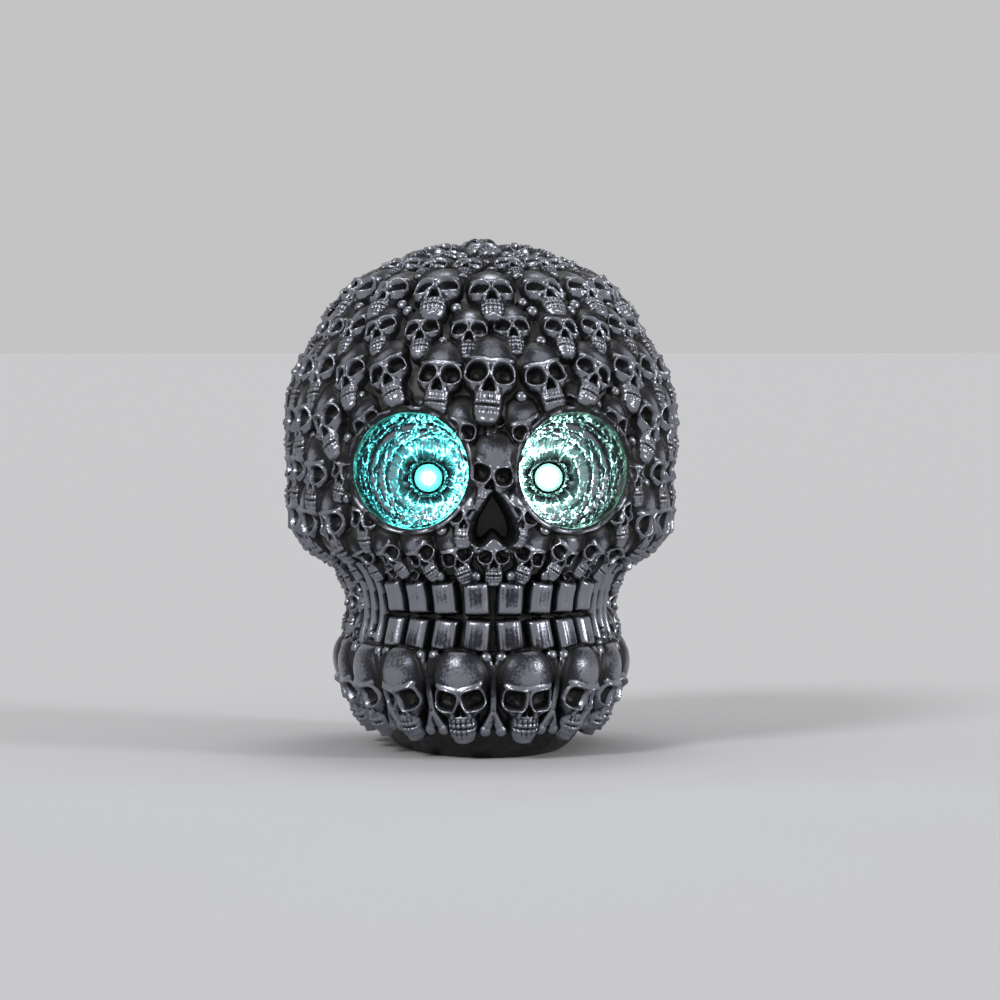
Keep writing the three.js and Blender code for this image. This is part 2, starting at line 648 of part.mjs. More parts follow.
/** The upright long bones that fill the waist behind the last tooth on each side. */
function longBones() {
  const made = [];
  const arc = arcAt(levelOf(BITE_Z));
  const first = TEETH_A_SIDE * TOOTH_PITCH + BONES_PAST_TEETH;
  const stations = [
    [BONE_FROM_Z, -BONE_RADIUS], [BITE_Z, BONE_PROUD],
    [(BITE_Z + BONE_TO_Z) / 2, BONE_PROUD], [BONE_TO_Z, -BONE_RADIUS],
  ];
  for (let i = 0; i < BONES_A_SIDE; i++)
    for (const side of [1, -1]) {
      const angle = side * arc.angleOf(first + i * BONE_PITCH);
      const route = stations.map(([z, proud]) => skin(angle, levelOf(z), proud).toArray());
      made.push(tube(route, BONE_RADIUS, 6, 8));
    }
  return made;
}

// Eye sockets and nose

/** The bowl of one socket, let out on every side by extra. */
function socket(side, extra) {
  const rim = (x) => SOCKET_RIM_Y + SOCKET_RIM_SLOPE * (Math.abs(x) - SOCKET_X);
  const rows = [];
  const ring = (depth, forward) => {
    const bowl = Math.sqrt(1 - depth * depth);
    const middleX = THREE.MathUtils.lerp(SOCKET_X, LAMP_X, depth);
    const middleZ = THREE.MathUtils.lerp(SOCKET_Z, LAMP_Z, depth);
    const floor = SOCKET_FLOOR_RADIUS;
    const wide = floor + (SOCKET_HALF_WIDTH - floor) * bowl + extra;
    const tall = floor + (SOCKET_HALF_HEIGHT - floor) * bowl + extra;
    const row = [];
    for (let i = 0; i < SOCKET_SEGMENTS; i++) {
      const turn = (2 * Math.PI * i) / SOCKET_SEGMENTS;
      const x = middleX + wide * Math.cos(turn);
      const y = THREE.MathUtils.lerp(rim(x), SOCKET_FLOOR_Y + extra, depth) - forward;
      row.push(new THREE.Vector3(side * x, y, middleZ - side * tall * Math.sin(turn)));
    }
    rows.push(row);
  };
  ring(0, FAR);
  for (let step = 0; step <= SOCKET_STEPS; step++)
    ring(Math.sin((Math.PI * step) / (2 * SOCKET_STEPS)), 0);
  const middle = (row) => row.reduce((sum, p) => sum.add(p), new THREE.Vector3());
  const centre = (row) => middle(row).divideScalar(row.length);
  return ringSolid(rows, centre(rows[0]), centre(rows[rows.length - 1]));
}

/** The pear-shaped nose opening, let out by extra. */
function nose(extra) {
  const [w, top, bottom] = [NOSE_HALF_WIDTH + extra, NOSE_TOP_Z + extra, NOSE_BOTTOM_Z - extra];
  const lobe = bottom + (top - bottom) * 0.3;
  const outline = new THREE.Shape();
  outline.moveTo(0, bottom + (lobe - bottom) * 0.45);
  outline.quadraticCurveTo(w * 0.35, bottom, w * 0.65, bottom);
  outline.quadraticCurveTo(w * 1.1, bottom, w * 0.95, lobe);
  outline.quadraticCurveTo(w * 0.55, top, 0, top);
  outline.quadraticCurveTo(-w * 0.55, top, -w * 0.95, lobe);
  outline.quadraticCurveTo(-w * 1.1, bottom, -w * 0.65, bottom);
  outline.quadraticCurveTo(-w * 0.35, bottom, 0, bottom + (lobe - bottom) * 0.45);
  const settings = { depth: FAR, bevelEnabled: false, curveSegments: 4 };
  const bar = new THREE.ExtrudeGeometry(outline, settings).rotateX(Math.PI / 2);
  const middle = faceY(0, (NOSE_TOP_Z + NOSE_BOTTOM_Z) / 2);
  return solid(bar.translate(0, middle + NOSE_DEPTH + extra, 0));
}

// Base opening and shell halves

/** The base's outline, taken in from the foot of the skin, as a flat plate. */
function basePlate(inset, from, to) {
  const foot = [];
  for (let i = 0; i < PLATE_SEGMENTS; i++) {
    const p = skin((2 * Math.PI * i) / PLATE_SEGMENTS, 0, 0);
    const [half, reach] = [RINGS[0].half, p.y < 0 ? RINGS[0].front : RINGS[0].back];
    foot.push(new THREE.Vector2((p.x * (half - inset)) / half, (p.y * (reach - inset)) / reach));
  }
  const settings = { depth: to - from, bevelEnabled: false };
  return solid(new THREE.ExtrudeGeometry(new THREE.Shape(foot), settings).translate(0, 0, from));
}

/** A boss for a base screw and the rib that carries it from the side wall. */
function boss(x, y) {
  const from = PLATE_TOP + GAP;
  const to = from + BOSS_HEIGHT;
  const wall = Math.sign(x) * FAR;
  const rib = box(
    [Math.min(x, wall), y - RIB_THICKNESS / 2, from],
    [Math.max(x, wall), y + RIB_THICKNESS / 2, to - RIB_THICKNESS]);
  const hole = post(SCREW_RADIUS + GAP, x, y, from - 1, PLATE_BOTTOM + SCREW_LENGTH + 2);
  return { solid: post(BOSS_RADIUS, x, y, from, to).add(rib), hole };
}

const bossPlaces = [
  [FRONT_BOSS_X, FRONT_BOSS_Y], [-FRONT_BOSS_X, FRONT_BOSS_Y],
  [REAR_BOSS_X, REAR_BOSS_Y], [-REAR_BOSS_X, REAR_BOSS_Y],
];

function shellHalves() {
  const cavity = skinSolid(-WALL)
    .intersect(box([-FAR, -FAR, PLATE_TOP], [FAR, FAR, FAR]))
    .subtract(nose(WALL));
  const bosses = bossPlaces.map(([x, y]) => boss(x, y));
  const inside = skinSolid(-WALL / 2);
  const fixings = joined(bosses.map((b) => b.solid)).intersect(inside);
  const holes = joined(bosses.map((b) => b.hole));
  const shell = reliefSkin().add(joined([...teeth(), ...longBones()]))
    .intersect(box([-FAR, -FAR, 0], [FAR, FAR, FAR]))
    .subtract(socket(1, 0).add(socket(-1, 0)))
    .subtract(nose(0))
    .subtract(cavity)
    .subtract(basePlate(FOOT_RIM, -1, PLATE_TOP + 1))
    .add(fixings)
    .subtract(holes);
  const front = shell.intersect(box([-FAR, -FAR, -FAR], [FAR, -GAP / 2, FAR]));
  const rear = shell.intersect(box([-FAR, GAP / 2, -FAR], [FAR, FAR, FAR])).add(seamLip());
  return { front, rear };
}

/** The cup behind an eye hole: the socket's bowl, with a hole for the lamp's holder. */
function eyeCup(side) {
  const bore = HOLDER_RADIUS + GAP;
  const hole = turned([[0, -FAR], [bore, -FAR], [bore, 0], [0, 0]], 16, side * LAMP_X, LAMP_Z);
  return socket(side, WALL)
    .intersect(skinSolid(-WALL - GAP))
    .subtract(socket(side, 0))
    .subtract(nose(WALL + GAP))
    .subtract(hole);
}

/** The lip of the back half that slips inside the face half. */
function seamLip() {
  const bore = skinSolid(-WALL - GAP - SEAM_LIP_THICKNESS);
  const slab = (from, to) => box([-FAR, from, SEAM_LIP_FROM], [FAR, to, SKULL_HEIGHT - SEAM_LIP_BELOW_CROWN]);
  const tongue = skinSolid(-WALL - GAP).intersect(slab(-SEAM_LIP_LENGTH, SEAM_LIP_LENGTH));
  const root = skinSolid(-WALL / 2).intersect(slab(GAP / 2, SEAM_LIP_LENGTH));
  return tongue.add(root).subtract(bore);
}

// Lamps

function lampHolder(side) {
  const front = SOCKET_FLOOR_Y - GAP;
  const bore = LAMP_RADIUS + GAP;
  const profile = [
    [bore, front - HOLDER_FLANGE_THICKNESS],
    [HOLDER_RADIUS + HOLDER_FLANGE_REACH, front - HOLDER_FLANGE_THICKNESS],
    [HOLDER_RADIUS + HOLDER_FLANGE_REACH, front],
    [HOLDER_RADIUS, front],
    [HOLDER_RADIUS, SOCKET_FLOOR_Y + WALL + HOLDER_TAIL],
    [bore, SOCKET_FLOOR_Y + WALL + HOLDER_TAIL],
    [bore, front - HOLDER_FLANGE_THICKNESS],
  ];
  return turned(profile, 16, side * LAMP_X, LAMP_Z);
}

const LAMP_BACK = SOCKET_FLOOR_Y + WALL + HOLDER_TAIL + GAP + LAMP_FLANGE_THICKNESS;

function lamp(side) {
  const flange = LAMP_BACK - LAMP_FLANGE_THICKNESS;
  const tip = LAMP_BACK - WALL - HOLDER_TAIL - LAMP_LENGTH;
  const profile = [[0, tip]];
  const steps = 5;
  for (let i = 1; i <= steps; i++) {
    const turn = (Math.PI / 2) * (i / steps);
    profile.push([LAMP_RADIUS * Math.sin(turn), tip + LAMP_RADIUS * (1 - Math.cos(turn))]);
  }
  profile.push([LAMP_RADIUS, flange], [LAMP_FLANGE_RADIUS, flange]);
  profile.push([LAMP_FLANGE_RADIUS, LAMP_BACK], [0, LAMP_BACK]);
  const legs = [-1, 1].map((leg) => {
    const x = side * LAMP_X + (leg * LAMP_LEG_PITCH) / 2;
    const half = LAMP_LEG_WIDTH / 2;
    return box([x - half, LAMP_BACK - 0.5, LAMP_Z - half],
      [x + half, LAMP_BACK + LAMP_LEG_LENGTH, LAMP_Z + half]);
  });
  return turned(profile, 16, side * LAMP_X, LAMP_Z).add(joined(legs));
}

/** The two-core lead from the board up to a lamp's legs. */
function lampLead(side) {
  const end = LAMP_BACK + LAMP_LEG_LENGTH + GAP;
  const start = BOARD_TOP + GAP;
  const route = [
    [side * 5, BOARD_Y + 4, start], [side * 5, BOARD_Y + 4, start + 6],
    [side * 7, BOARD_Y + 10, LAMP_Z * 0.36], [side * 12, BOARD_Y + 20, LAMP_Z * 0.65],
    [side * (LAMP_X - 2), end + 4, LAMP_Z - 14], [side * LAMP_X, end + 5, LAMP_Z - 4],
    [side * LAMP_X, end + 2.5, LAMP_Z], [side * LAMP_X, end, LAMP_Z],
  ];
  return tube(route, LAMP_LEAD_RADIUS, 16);
}

// Base cover, screws and battery tray

/** A pan-head screw with a cross slot, its head down. */
function screw(x, y, headZ, radius, length, headRadius, headHeight) {
  const body = post(headRadius, x, y, headZ, headZ + headHeight, 12)
    .add(post(radius, x, y, headZ + headHeight / 2, headZ + length, 8));
  const [wide, half] = [headRadius * 0.65, SCREW_SLOT_WIDTH / 2];
  const slot = (a, b) =>
    box([x - a, y - b, headZ - 1], [x + a, y + b, headZ + SCREW_SLOT_DEPTH]);
  return body.subtract(slot(wide, half).add(slot(half, wide)));
}

const baseScrew = ([x, y]) =>
  screw(x, y, PLATE_BOTTOM + GAP, SCREW_RADIUS, SCREW_LENGTH, SCREW_HEAD_RADIUS, SCREW_HEAD_HEIGHT);

/** The hole and head recess for a screw that enters a plate from below. */
function screwSeat(x, y, headHeight) {
  const head = PLATE_BOTTOM + GAP + headHeight + GAP;
  return post(SCREW_HEAD_RADIUS + GAP, x, y, PLATE_BOTTOM - 1, head)
    .add(post(SCREW_RADIUS + GAP, x, y, PLATE_BOTTOM, head + PLATE_THICKNESS, 12));
}

const cellX = (i) => (i - (CELLS - 1) / 2) * CELL_PITCH;

/** Where a contact's solder tab passes through the tray's roof. */
function tabSlot(x, wallY, inwards) {
  const [half, y] = [CONTACT_TAB_WIDTH / 2 + GAP, wallY + inwards * GAP];
  const [a, b] = [y - inwards * GAP, y + inwards * (CONTACT_THICKNESS + GAP)];
  return box([x - half, Math.min(a, b), TRAY_CEILING - 1], [x + half, Math.max(a, b), TRAY_ROOF + 1]);
}

function baseCover() {
  const plate = basePlate(FOOT_RIM + GAP, PLATE_BOTTOM, PLATE_TOP);
  const trayHalf = TRAY_WIDTH / 2;
  const walls = box(
    [-trayHalf - TRAY_WALL, TRAY_FRONT - TRAY_WALL, PLATE_BOTTOM],
    [trayHalf + TRAY_WALL, TRAY_REAR + TRAY_WALL, TRAY_ROOF]);
  const inside = box([-trayHalf, TRAY_FRONT, -1], [trayHalf, TRAY_REAR, TRAY_CEILING]);
  const pocket = box(
    [-LID_HALF_WIDTH - GAP, LID_FRONT - GAP, -1],
    [LID_HALF_WIDTH + GAP, HINGE_Y + HINGE_RADIUS + GAP, LID_TOP + GAP]);
  const pinHole = new THREE.CylinderGeometry(
    LID_PIN_RADIUS + GAP, LID_PIN_RADIUS + GAP, 2 * (PIN_REACH + GAP), 14);
  const pins = solid(pinHole.rotateZ(Math.PI / 2).translate(0, HINGE_Y, HINGE_Z));
  const lidBoss = post(BOSS_RADIUS, 0, LID_SCREW_Y, PLATE_TOP - 1, LID_TOP + LID_SCREW_GRIP + 2);
  const lidHole = post(SCREW_RADIUS + SCREW_PLAY, 0, LID_SCREW_Y, 0, LID_TOP + LID_SCREW_GRIP, 14);
  const recessX = (KNOB_LENGTH + SWITCH_TRAVEL) / 2 + SWITCH_RECESS_MARGIN;
  const recessY = KNOB_WIDTH / 2 + SWITCH_RECESS_MARGIN;
  const recess = box([-recessX, SWITCH_Y - recessY, -1],
    [recessX, SWITCH_Y + recessY, PLATE_BOTTOM + SWITCH_RECESS_DEPTH]);
  const slotX = (KNOB_LENGTH + SWITCH_TRAVEL) / 2 + GAP;
  const slotY = KNOB_WIDTH / 2 + GAP;
  const slot = box([-slotX, SWITCH_Y - slotY, 0], [slotX, SWITCH_Y + slotY, PLATE_TOP + 1]);
  const boardPost = post(POST_RADIUS, 0, POST_Y, PLATE_TOP - 1, BOARD_BOTTOM - GAP);
  const postHole = post(BOARD_SCREW_RADIUS + GAP, 0, POST_Y,
    BOARD_TOP - BOARD_SCREW_LENGTH, BOARD_TOP, 12);
  const seats = bossPlaces.map(([x, y]) => screwSeat(x, y, SCREW_HEAD_HEIGHT));
  const tabs = [tabSlot(cellX(0), TRAY_REAR, -1), tabSlot(cellX(CELLS - 1), TRAY_FRONT, 1)];
  return plate.add(walls).add(lidBoss).add(boardPost)
    .subtract(joined([inside, pocket, pins, lidHole, recess, slot, postHole, ...seats, ...tabs]));
}

/** The tray's lid: a plate with a round hinge edge, hinge pins, a screw hole and a grip. */
function trayLid() {
  const profile = new THREE.Shape();
  profile.moveTo(LID_FRONT, PLATE_BOTTOM);
  profile.lineTo(HINGE_Y, PLATE_BOTTOM);
  profile.absarc(HINGE_Y, HINGE_Z, HINGE_RADIUS, -Math.PI / 2, Math.PI / 2);
  profile.lineTo(LID_FRONT, LID_TOP);
  const settings = { depth: 2 * LID_HALF_WIDTH, bevelEnabled: false, curveSegments: 10 };
  const slab = new THREE.ExtrudeGeometry(profile, settings);
  const turn = new THREE.Matrix4().makeBasis(
    new THREE.Vector3(0, 1, 0), new THREE.Vector3(0, 0, 1), new THREE.Vector3(1, 0, 0));
  const plate = solid(slab.applyMatrix4(turn).translate(-LID_HALF_WIDTH, 0, 0));
  const pin = new THREE.CylinderGeometry(LID_PIN_RADIUS, LID_PIN_RADIUS, 2 * PIN_REACH, 12);
  const pins = solid(pin.rotateZ(Math.PI / 2).translate(0, HINGE_Y, HINGE_Z));
  const grooves = [];
  const [ribPitch, ribHalf, ribLength] = [2.4, 0.5, 6];
  for (let i = 0; i < LID_GRIP_RIBS; i++) {
    const y = LID_SCREW_Y + SCREW_HEAD_RADIUS + 3 + i * ribPitch;
    grooves.push(box([-ribLength, y - ribHalf, 0], [ribLength, y + ribHalf, PLATE_BOTTOM + 0.6]));
  }
  const seat = screwSeat(0, LID_SCREW_Y, LID_SCREW_HEAD_HEIGHT);
  return plate.add(pins).subtract(joined([seat, ...grooves]));
}

function lidScrew() {
  const head = PLATE_BOTTOM + GAP;
  const length = LID_TOP + LID_SCREW_GRIP - 1 - head;
  return screw(0, LID_SCREW_Y, head, SCREW_RADIUS, length, SCREW_HEAD_RADIUS, LID_SCREW_HEAD_HEIGHT);
}

/** A dry cell. Facing 1 has its button to the front and -1 to the rear. */
function cell(i) {
  const facing = i % 2 ? -1 : 1;
  const buttonWall = facing > 0 ? TRAY_FRONT : TRAY_REAR;
  const tip = buttonWall + facing * (2 * GAP + CONTACT_THICKNESS);
  const at = (distance) => tip + facing * distance;
  const bevel = 0.6;
  const profile = [
    [0, at(0)], [CELL_BUTTON_RADIUS, at(0)], [CELL_BUTTON_RADIUS, at(CELL_BUTTON_LENGTH)],
    [CELL_RADIUS - bevel, at(CELL_BUTTON_LENGTH)], [CELL_RADIUS, at(CELL_BUTTON_LENGTH + bevel)],
    [CELL_RADIUS, at(CELL_LENGTH - bevel)], [CELL_RADIUS - bevel, at(CELL_LENGTH)],
    [0, at(CELL_LENGTH)],
  ];
  return turned(facing > 0 ? profile : profile.reverse(), 16, cellX(i), CELL_Z);
}

/** A coil that narrows from its contact plate towards a cell. */
function contactSpring(x, plateY, inwards) {
  const perTurn = 8;
  const points = [];
  const run = SPRING_LENGTH - 2 * SPRING_WIRE_RADIUS;
  for (let i = 0; i <= SPRING_TURNS * perTurn; i++) {
    const share = i / (SPRING_TURNS * perTurn);
    const turn = (2 * Math.PI * i) / perTurn;
    const radius = THREE.MathUtils.lerp(SPRING_BASE_RADIUS, SPRING_TIP_RADIUS, share);
    const y = plateY + inwards * (SPRING_WIRE_RADIUS * 0.5 + run * share);
    points.push([x + radius * Math.cos(turn), y, CELL_Z + radius * Math.sin(turn)]);
  }
  return tube(points, SPRING_WIRE_RADIUS, SPRING_TURNS * perTurn, 4);
}

/** A contact plate against an end wall of the tray, over the cells from first to last. */
function contactPlate(first, last, wallY, inwards) {
  const [a, b] = [wallY + inwards * GAP, wallY + inwards * (GAP + CONTACT_THICKNESS)];
  return box(
    [cellX(first) - CONTACT_WIDTH / 2, Math.min(a, b), CELL_Z - CONTACT_HEIGHT / 2],
    [cellX(last) + CONTACT_WIDTH / 2, Math.max(a, b), CELL_Z + CONTACT_HEIGHT / 2]);
}

/** The solder tab that rises from a contact plate through the tray's roof. */
function contactTab(i, wallY, inwards) {
  const [a, b] = [wallY + inwards * GAP, wallY + inwards * (GAP + CONTACT_THICKNESS)];
  const half = CONTACT_TAB_WIDTH / 2;
  return box([cellX(i) - half, Math.min(a, b), CELL_Z],
    [cellX(i) + half, Math.max(a, b), TRAY_ROOF + CONTACT_TAB_RISE]);
}

function contacts() {
  const last = CELLS - 1;
  const frontFace = TRAY_FRONT + GAP + CONTACT_THICKNESS;
  const rearFace = TRAY_REAR - GAP - CONTACT_THICKNESS;
  return {
    negative_contact: contactPlate(0, 0, TRAY_REAR, -1)
      .add(contactTab(0, TRAY_REAR, -1)).add(contactSpring(cellX(0), rearFace, -1)),
    front_bridge_contact: contactPlate(0, 1, TRAY_FRONT, 1)
      .add(contactSpring(cellX(1), frontFace, 1)),
    rear_bridge_contact: contactPlate(1, last, TRAY_REAR, -1)
      .add(contactSpring(cellX(last), rearFace, -1)),
    positive_contact: contactPlate(last, last, TRAY_FRONT, 1).add(contactTab(last, TRAY_FRONT, 1)),
  };
}

// Switch, board and leads

function switchBody() {
  const [x, y] = [SWITCH_LENGTH / 2, SWITCH_WIDTH / 2];
  const top = SWITCH_BOTTOM + SWITCH_HEIGHT;
  const track = SWITCH_BOTTOM + SLIDER_THICKNESS + 2 * GAP;
  const outer = box([-x, SWITCH_Y - y, SWITCH_BOTTOM], [x, SWITCH_Y + y, top]);
  const inner = box(
    [-x + SWITCH_WALL, SWITCH_Y - y + SWITCH_WALL, 0], [x - SWITCH_WALL, SWITCH_Y + y - SWITCH_WALL, track]);
  return outer.subtract(inner);
}

/** The slider at the ON end of its travel: a flange in the switch and a ribbed knob below. */
function switchSlider() {
  const x = -SWITCH_TRAVEL / 2;
  const bar = (length, width, from, to) =>
    box([x - length / 2, SWITCH_Y - width / 2, from], [x + length / 2, SWITCH_Y + width / 2, to]);
  const flange = bar(SLIDER_LENGTH, SLIDER_WIDTH, SWITCH_BOTTOM, SWITCH_BOTTOM + SLIDER_THICKNESS);
  const knob = bar(KNOB_LENGTH, KNOB_WIDTH, KNOB_ABOVE_TABLE, SWITCH_BOTTOM + 0.5);
  const grooveHalf = 0.3;
  const grooves = [-1, 0, 1].map((i) => {
    const middle = x + (i * KNOB_LENGTH) / 3;
    return box([middle - grooveHalf, SWITCH_Y - KNOB_WIDTH, 0],
      [middle + grooveHalf, SWITCH_Y + KNOB_WIDTH, KNOB_ABOVE_TABLE + 0.4]);
  });
  return flange.add(knob).subtract(joined(grooves));
}

function circuitBoard() {
  const slab = box([-BOARD_WIDTH / 2, BOARD_Y - BOARD_LENGTH / 2, BOARD_BOTTOM],
    [BOARD_WIDTH / 2, BOARD_Y + BOARD_LENGTH / 2, BOARD_TOP]);
  return slab.subtract(post(BOARD_SCREW_RADIUS + GAP, 0, POST_Y, 0, FAR, 12));
}

/** The board's screw, head up. */
function boardScrew() {
  const upright = screw(0, 0, 0, BOARD_SCREW_RADIUS, BOARD_SCREW_LENGTH,
    BOARD_SCREW_HEAD_RADIUS, BOARD_SCREW_HEAD_HEIGHT);
  const lift = BOARD_TOP + GAP + BOARD_SCREW_HEAD_HEIGHT;
  return upright.rotate([180, 0, 0]).translate([0, POST_Y, lift]);
}

function resistor(side) {
  const [from, to] = [BOARD_Y - RESISTOR_LENGTH / 2 - 2, BOARD_Y + RESISTOR_LENGTH / 2 - 2];
  const waist = RESISTOR_RADIUS * 0.85;
  const profile = [
    [0, from], [RESISTOR_RADIUS, from], [RESISTOR_RADIUS, from + 1], [waist, from + 1.5],
    [waist, to - 1.5], [RESISTOR_RADIUS, to - 1], [RESISTOR_RADIUS, to], [0, to],
  ];
  return turned(profile, 12, side * 5, BOARD_TOP + GAP + RESISTOR_RADIUS);
}

/** The lead from a tab above the tray's roof to the board. */
function batteryLead(x, wallY, inwards, boardX) {
  const y = wallY + inwards * (GAP + CONTACT_THICKNESS / 2);
  const top = TRAY_ROOF + CONTACT_TAB_RISE + GAP;
  const boardY = BOARD_Y + BOARD_LENGTH / 2 - 2;
  const route = [
    [x, y, top], [x, y - 1.5, top + 2], [x, (y + boardY) / 2, top + 2.5],
    [boardX, boardY + 1, top + 1], [boardX, boardY, BOARD_TOP + GAP],
  ];
  return tube(route, BATTERY_LEAD_RADIUS, 12);
}

// Materials

const finish = (color, roughness, metalness) =>
  new THREE.MeshStandardMaterial({ color, roughness, metalness });

const MATERIALS = {
  pewter: finish(0x35353a, 0.4, 0.7),
  blackPlastic: finish(0x17171a, 0.55, 0),
  whitePlastic: finish(0xd8d6cf, 0.5, 0),
  lens: finish(0xd6fff0, 0.1, 0),
  steel: finish(0xb8b9bd, 0.3, 1),
  cellJacket: finish(0x2f6fb2, 0.35, 0.1),
  board: finish(0x1f5a3a, 0.5, 0),
  resistor: finish(0xd2b98a, 0.6, 0),
  redLead: finish(0xa32020, 0.5, 0),
  blackLead: finish(0x141414, 0.5, 0),
  greyLead: finish(0x6d6d70, 0.5, 0),
};

// The assembly

const skull = new THREE.Group();

function piece(name, shape, material, parent = skull) {
  const made = new THREE.Mesh(geometryOf(shape), material);
  made.name = name;
  parent.add(made);
}

const { front, rear } = shellHalves();
piece("front_shell", front, MATERIALS.pewter);
piece("rear_shell", rear, MATERIALS.pewter);

for (const [word, side] of [["left", -1], ["right", 1]]) {
  piece(word + "_eye_cup", eyeCup(side), MATERIALS.pewter);
  piece(word + "_eye_lamp", lamp(side), MATERIALS.lens);
  piece(word + "_lamp_holder", lampHolder(side), MATERIALS.blackPlastic);
  piece(word + "_lamp_lead", lampLead(side), MATERIALS.greyLead);
  piece(word + "_resistor", resistor(side), MATERIALS.resistor);
}

piece("base_cover", baseCover(), MATERIALS.blackPlastic);
bossPlaces.forEach((place, i) => piece("base_screw_" + (i + 1), baseScrew(place), MATERIALS.steel));
piece("battery_lid", trayLid(), MATERIALS.blackPlastic);
piece("battery_lid_screw", lidScrew(), MATERIALS.steel);
for (let i = 0; i < CELLS; i++) piece("battery_" + (i + 1), cell(i), MATERIALS.cellJacket);
for (const [name, shape] of Object.entries(contacts())) piece(name, shape, MATERIALS.steel);

piece("switch_body", switchBody(), MATERIALS.blackPlastic);
piece("switch_slider", switchSlider(), MATERIALS.whitePlastic);
piece("circuit_board", circuitBoard(), MATERIALS.board);
piece("circuit_board_screw", boardScrew(), MATERIALS.steel);
piece("positive_lead", batteryLead(cellX(CELLS - 1), TRAY_FRONT, 1, 2), MATERIALS.redLead);
piece("negative_lead", batteryLead(cellX(0), TRAY_REAR, -1, -2), MATERIALS.blackLead);

export default skull;
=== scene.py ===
# %% [markdown]
# # A light-up skull ornament covered in small skulls
# The real thing is a hollow moulding in two halves, painted black and then dry-brushed with
# pewter paint, with a lamp glowing in each eye and a battery tray in its base. The solid model
# fixes every size and every moving piece, so it is loaded first as the frame that the finer
# surfaces must fit. Sizes are in millimetres until a mesh is made.

# %% Load the solid model
import bpy
import numpy as np
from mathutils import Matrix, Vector


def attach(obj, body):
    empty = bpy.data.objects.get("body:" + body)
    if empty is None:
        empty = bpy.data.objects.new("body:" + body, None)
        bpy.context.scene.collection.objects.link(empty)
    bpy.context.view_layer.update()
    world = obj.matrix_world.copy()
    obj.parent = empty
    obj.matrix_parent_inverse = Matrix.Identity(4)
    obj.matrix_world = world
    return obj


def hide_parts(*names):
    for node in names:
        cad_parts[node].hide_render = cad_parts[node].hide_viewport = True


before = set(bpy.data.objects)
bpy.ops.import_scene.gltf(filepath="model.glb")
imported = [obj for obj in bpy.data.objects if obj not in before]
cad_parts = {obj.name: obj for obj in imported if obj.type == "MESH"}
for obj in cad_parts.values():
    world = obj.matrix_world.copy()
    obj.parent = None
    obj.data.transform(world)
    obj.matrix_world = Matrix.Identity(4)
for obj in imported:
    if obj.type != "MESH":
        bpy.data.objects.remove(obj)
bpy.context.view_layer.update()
MM = 0.001
chance = np.random.default_rng(31)

# %% [markdown]
# ## The form under the carving
# The head is a stack of level sections. Each is a rounded oval with a half width, a reach to the
# face, a reach to the back and a roundness, where 2 is an ellipse and more is squarer. A smooth
# curve carries these values from section to section, as on the solid model.

# %% Sections of the head
# height, half width, reach to the face, reach to the back, in millimetres, and roundness
SECTIONS = np.array([
    (0, 34, 76, 43, 2.0), (4, 40, 81, 47, 2.1), (12, 46, 85, 52, 2.25), (24, 50.5, 88, 57, 2.35),
    (36, 54, 89.5, 62, 2.3), (46, 53.5, 89.5, 66, 2.1), (56, 52, 89, 70, 2.0),
    (66, 53.5, 89, 74.5, 2.0), (76, 59.5, 89.5, 79.5, 2.1), (86, 72, 90, 84, 2.2),
    (98, 74.5, 90.5, 88, 2.25), (112, 74.5, 91, 90, 2.25), (128, 75.5, 91.5, 91, 2.25),
    (144, 74, 90, 89.5, 2.2), (158, 68.5, 84.5, 85, 2.2), (172, 60, 75, 75.5, 2.2),
    (186, 47.5, 60, 60, 2.1), (196, 31, 41, 39, 2.0), (202, 0, 0, 0, 2.0)])
TOP, LEVEL_STEPS = len(SECTIONS) - 1, 4001
PAST_CROWN = SECTIONS[-2] * (1, -1, -1, -1, 1)
PADDED = np.vstack([2 * SECTIONS[0] - SECTIONS[1], SECTIONS, PAST_CROWN])


def section(level):
    """The five values at a level, on the cubic curve through the four sections around it."""
    level = np.asarray(level, float)
    i = np.minimum(np.floor(level).astype(int), TOP - 1)
    f = (level - i)[..., None]
    a, b, c, d = (PADDED[i + k] for k in range(4))
    return b + 0.5 * f * (c - a + f * (2 * a - 5 * b + 4 * c - d + f * (3 * b - a - 3 * c + d)))


def skin(angle, level):
    """A point at an angle from the face round a section: sine and cosine, each raised to
    two over the roundness, times the half width and the reach."""
    angle, level = np.broadcast_arrays(angle, level)
    z, half, front, back, power = np.moveaxis(section(level), -1, 0)
    bend = lambda value: np.sign(value) * np.abs(value) ** (2 / power)
    reach = np.where(np.cos(angle) > 0, front, back)
    return np.stack([half * bend(np.sin(angle)), -reach * bend(np.cos(angle)), z], -1)


LEVELS = np.linspace(0, TOP, LEVEL_STEPS)
HEIGHTS = section(LEVELS)[:, 0]


def face_y(x, z):
    """How far forward the face lies at a place beside the middle and at a height."""
    _, half, front, _, power = np.moveaxis(section(np.interp(z, HEIGHTS, LEVELS)), -1, 0)
    share = np.clip(np.abs(x) / half, 0, 1)
    return -front * (1 - share ** power) ** (1 / power)


print("widest", 2 * SECTIONS[:, 1].max(), "mm, plain height", SECTIONS[-1, 0], "mm")

# %% [markdown]
# ## One fine net over the whole head
# The carving is fine: a small skull is 20 mm wide and its teeth are 1.5 mm. A net with a mesh of
# about half a millimetre can carry that as heights off the plain skin. Its rows are an even
# distance apart up the side of the head, and its columns are even round the widest section. Two
# columns fall on the joint of the two halves.

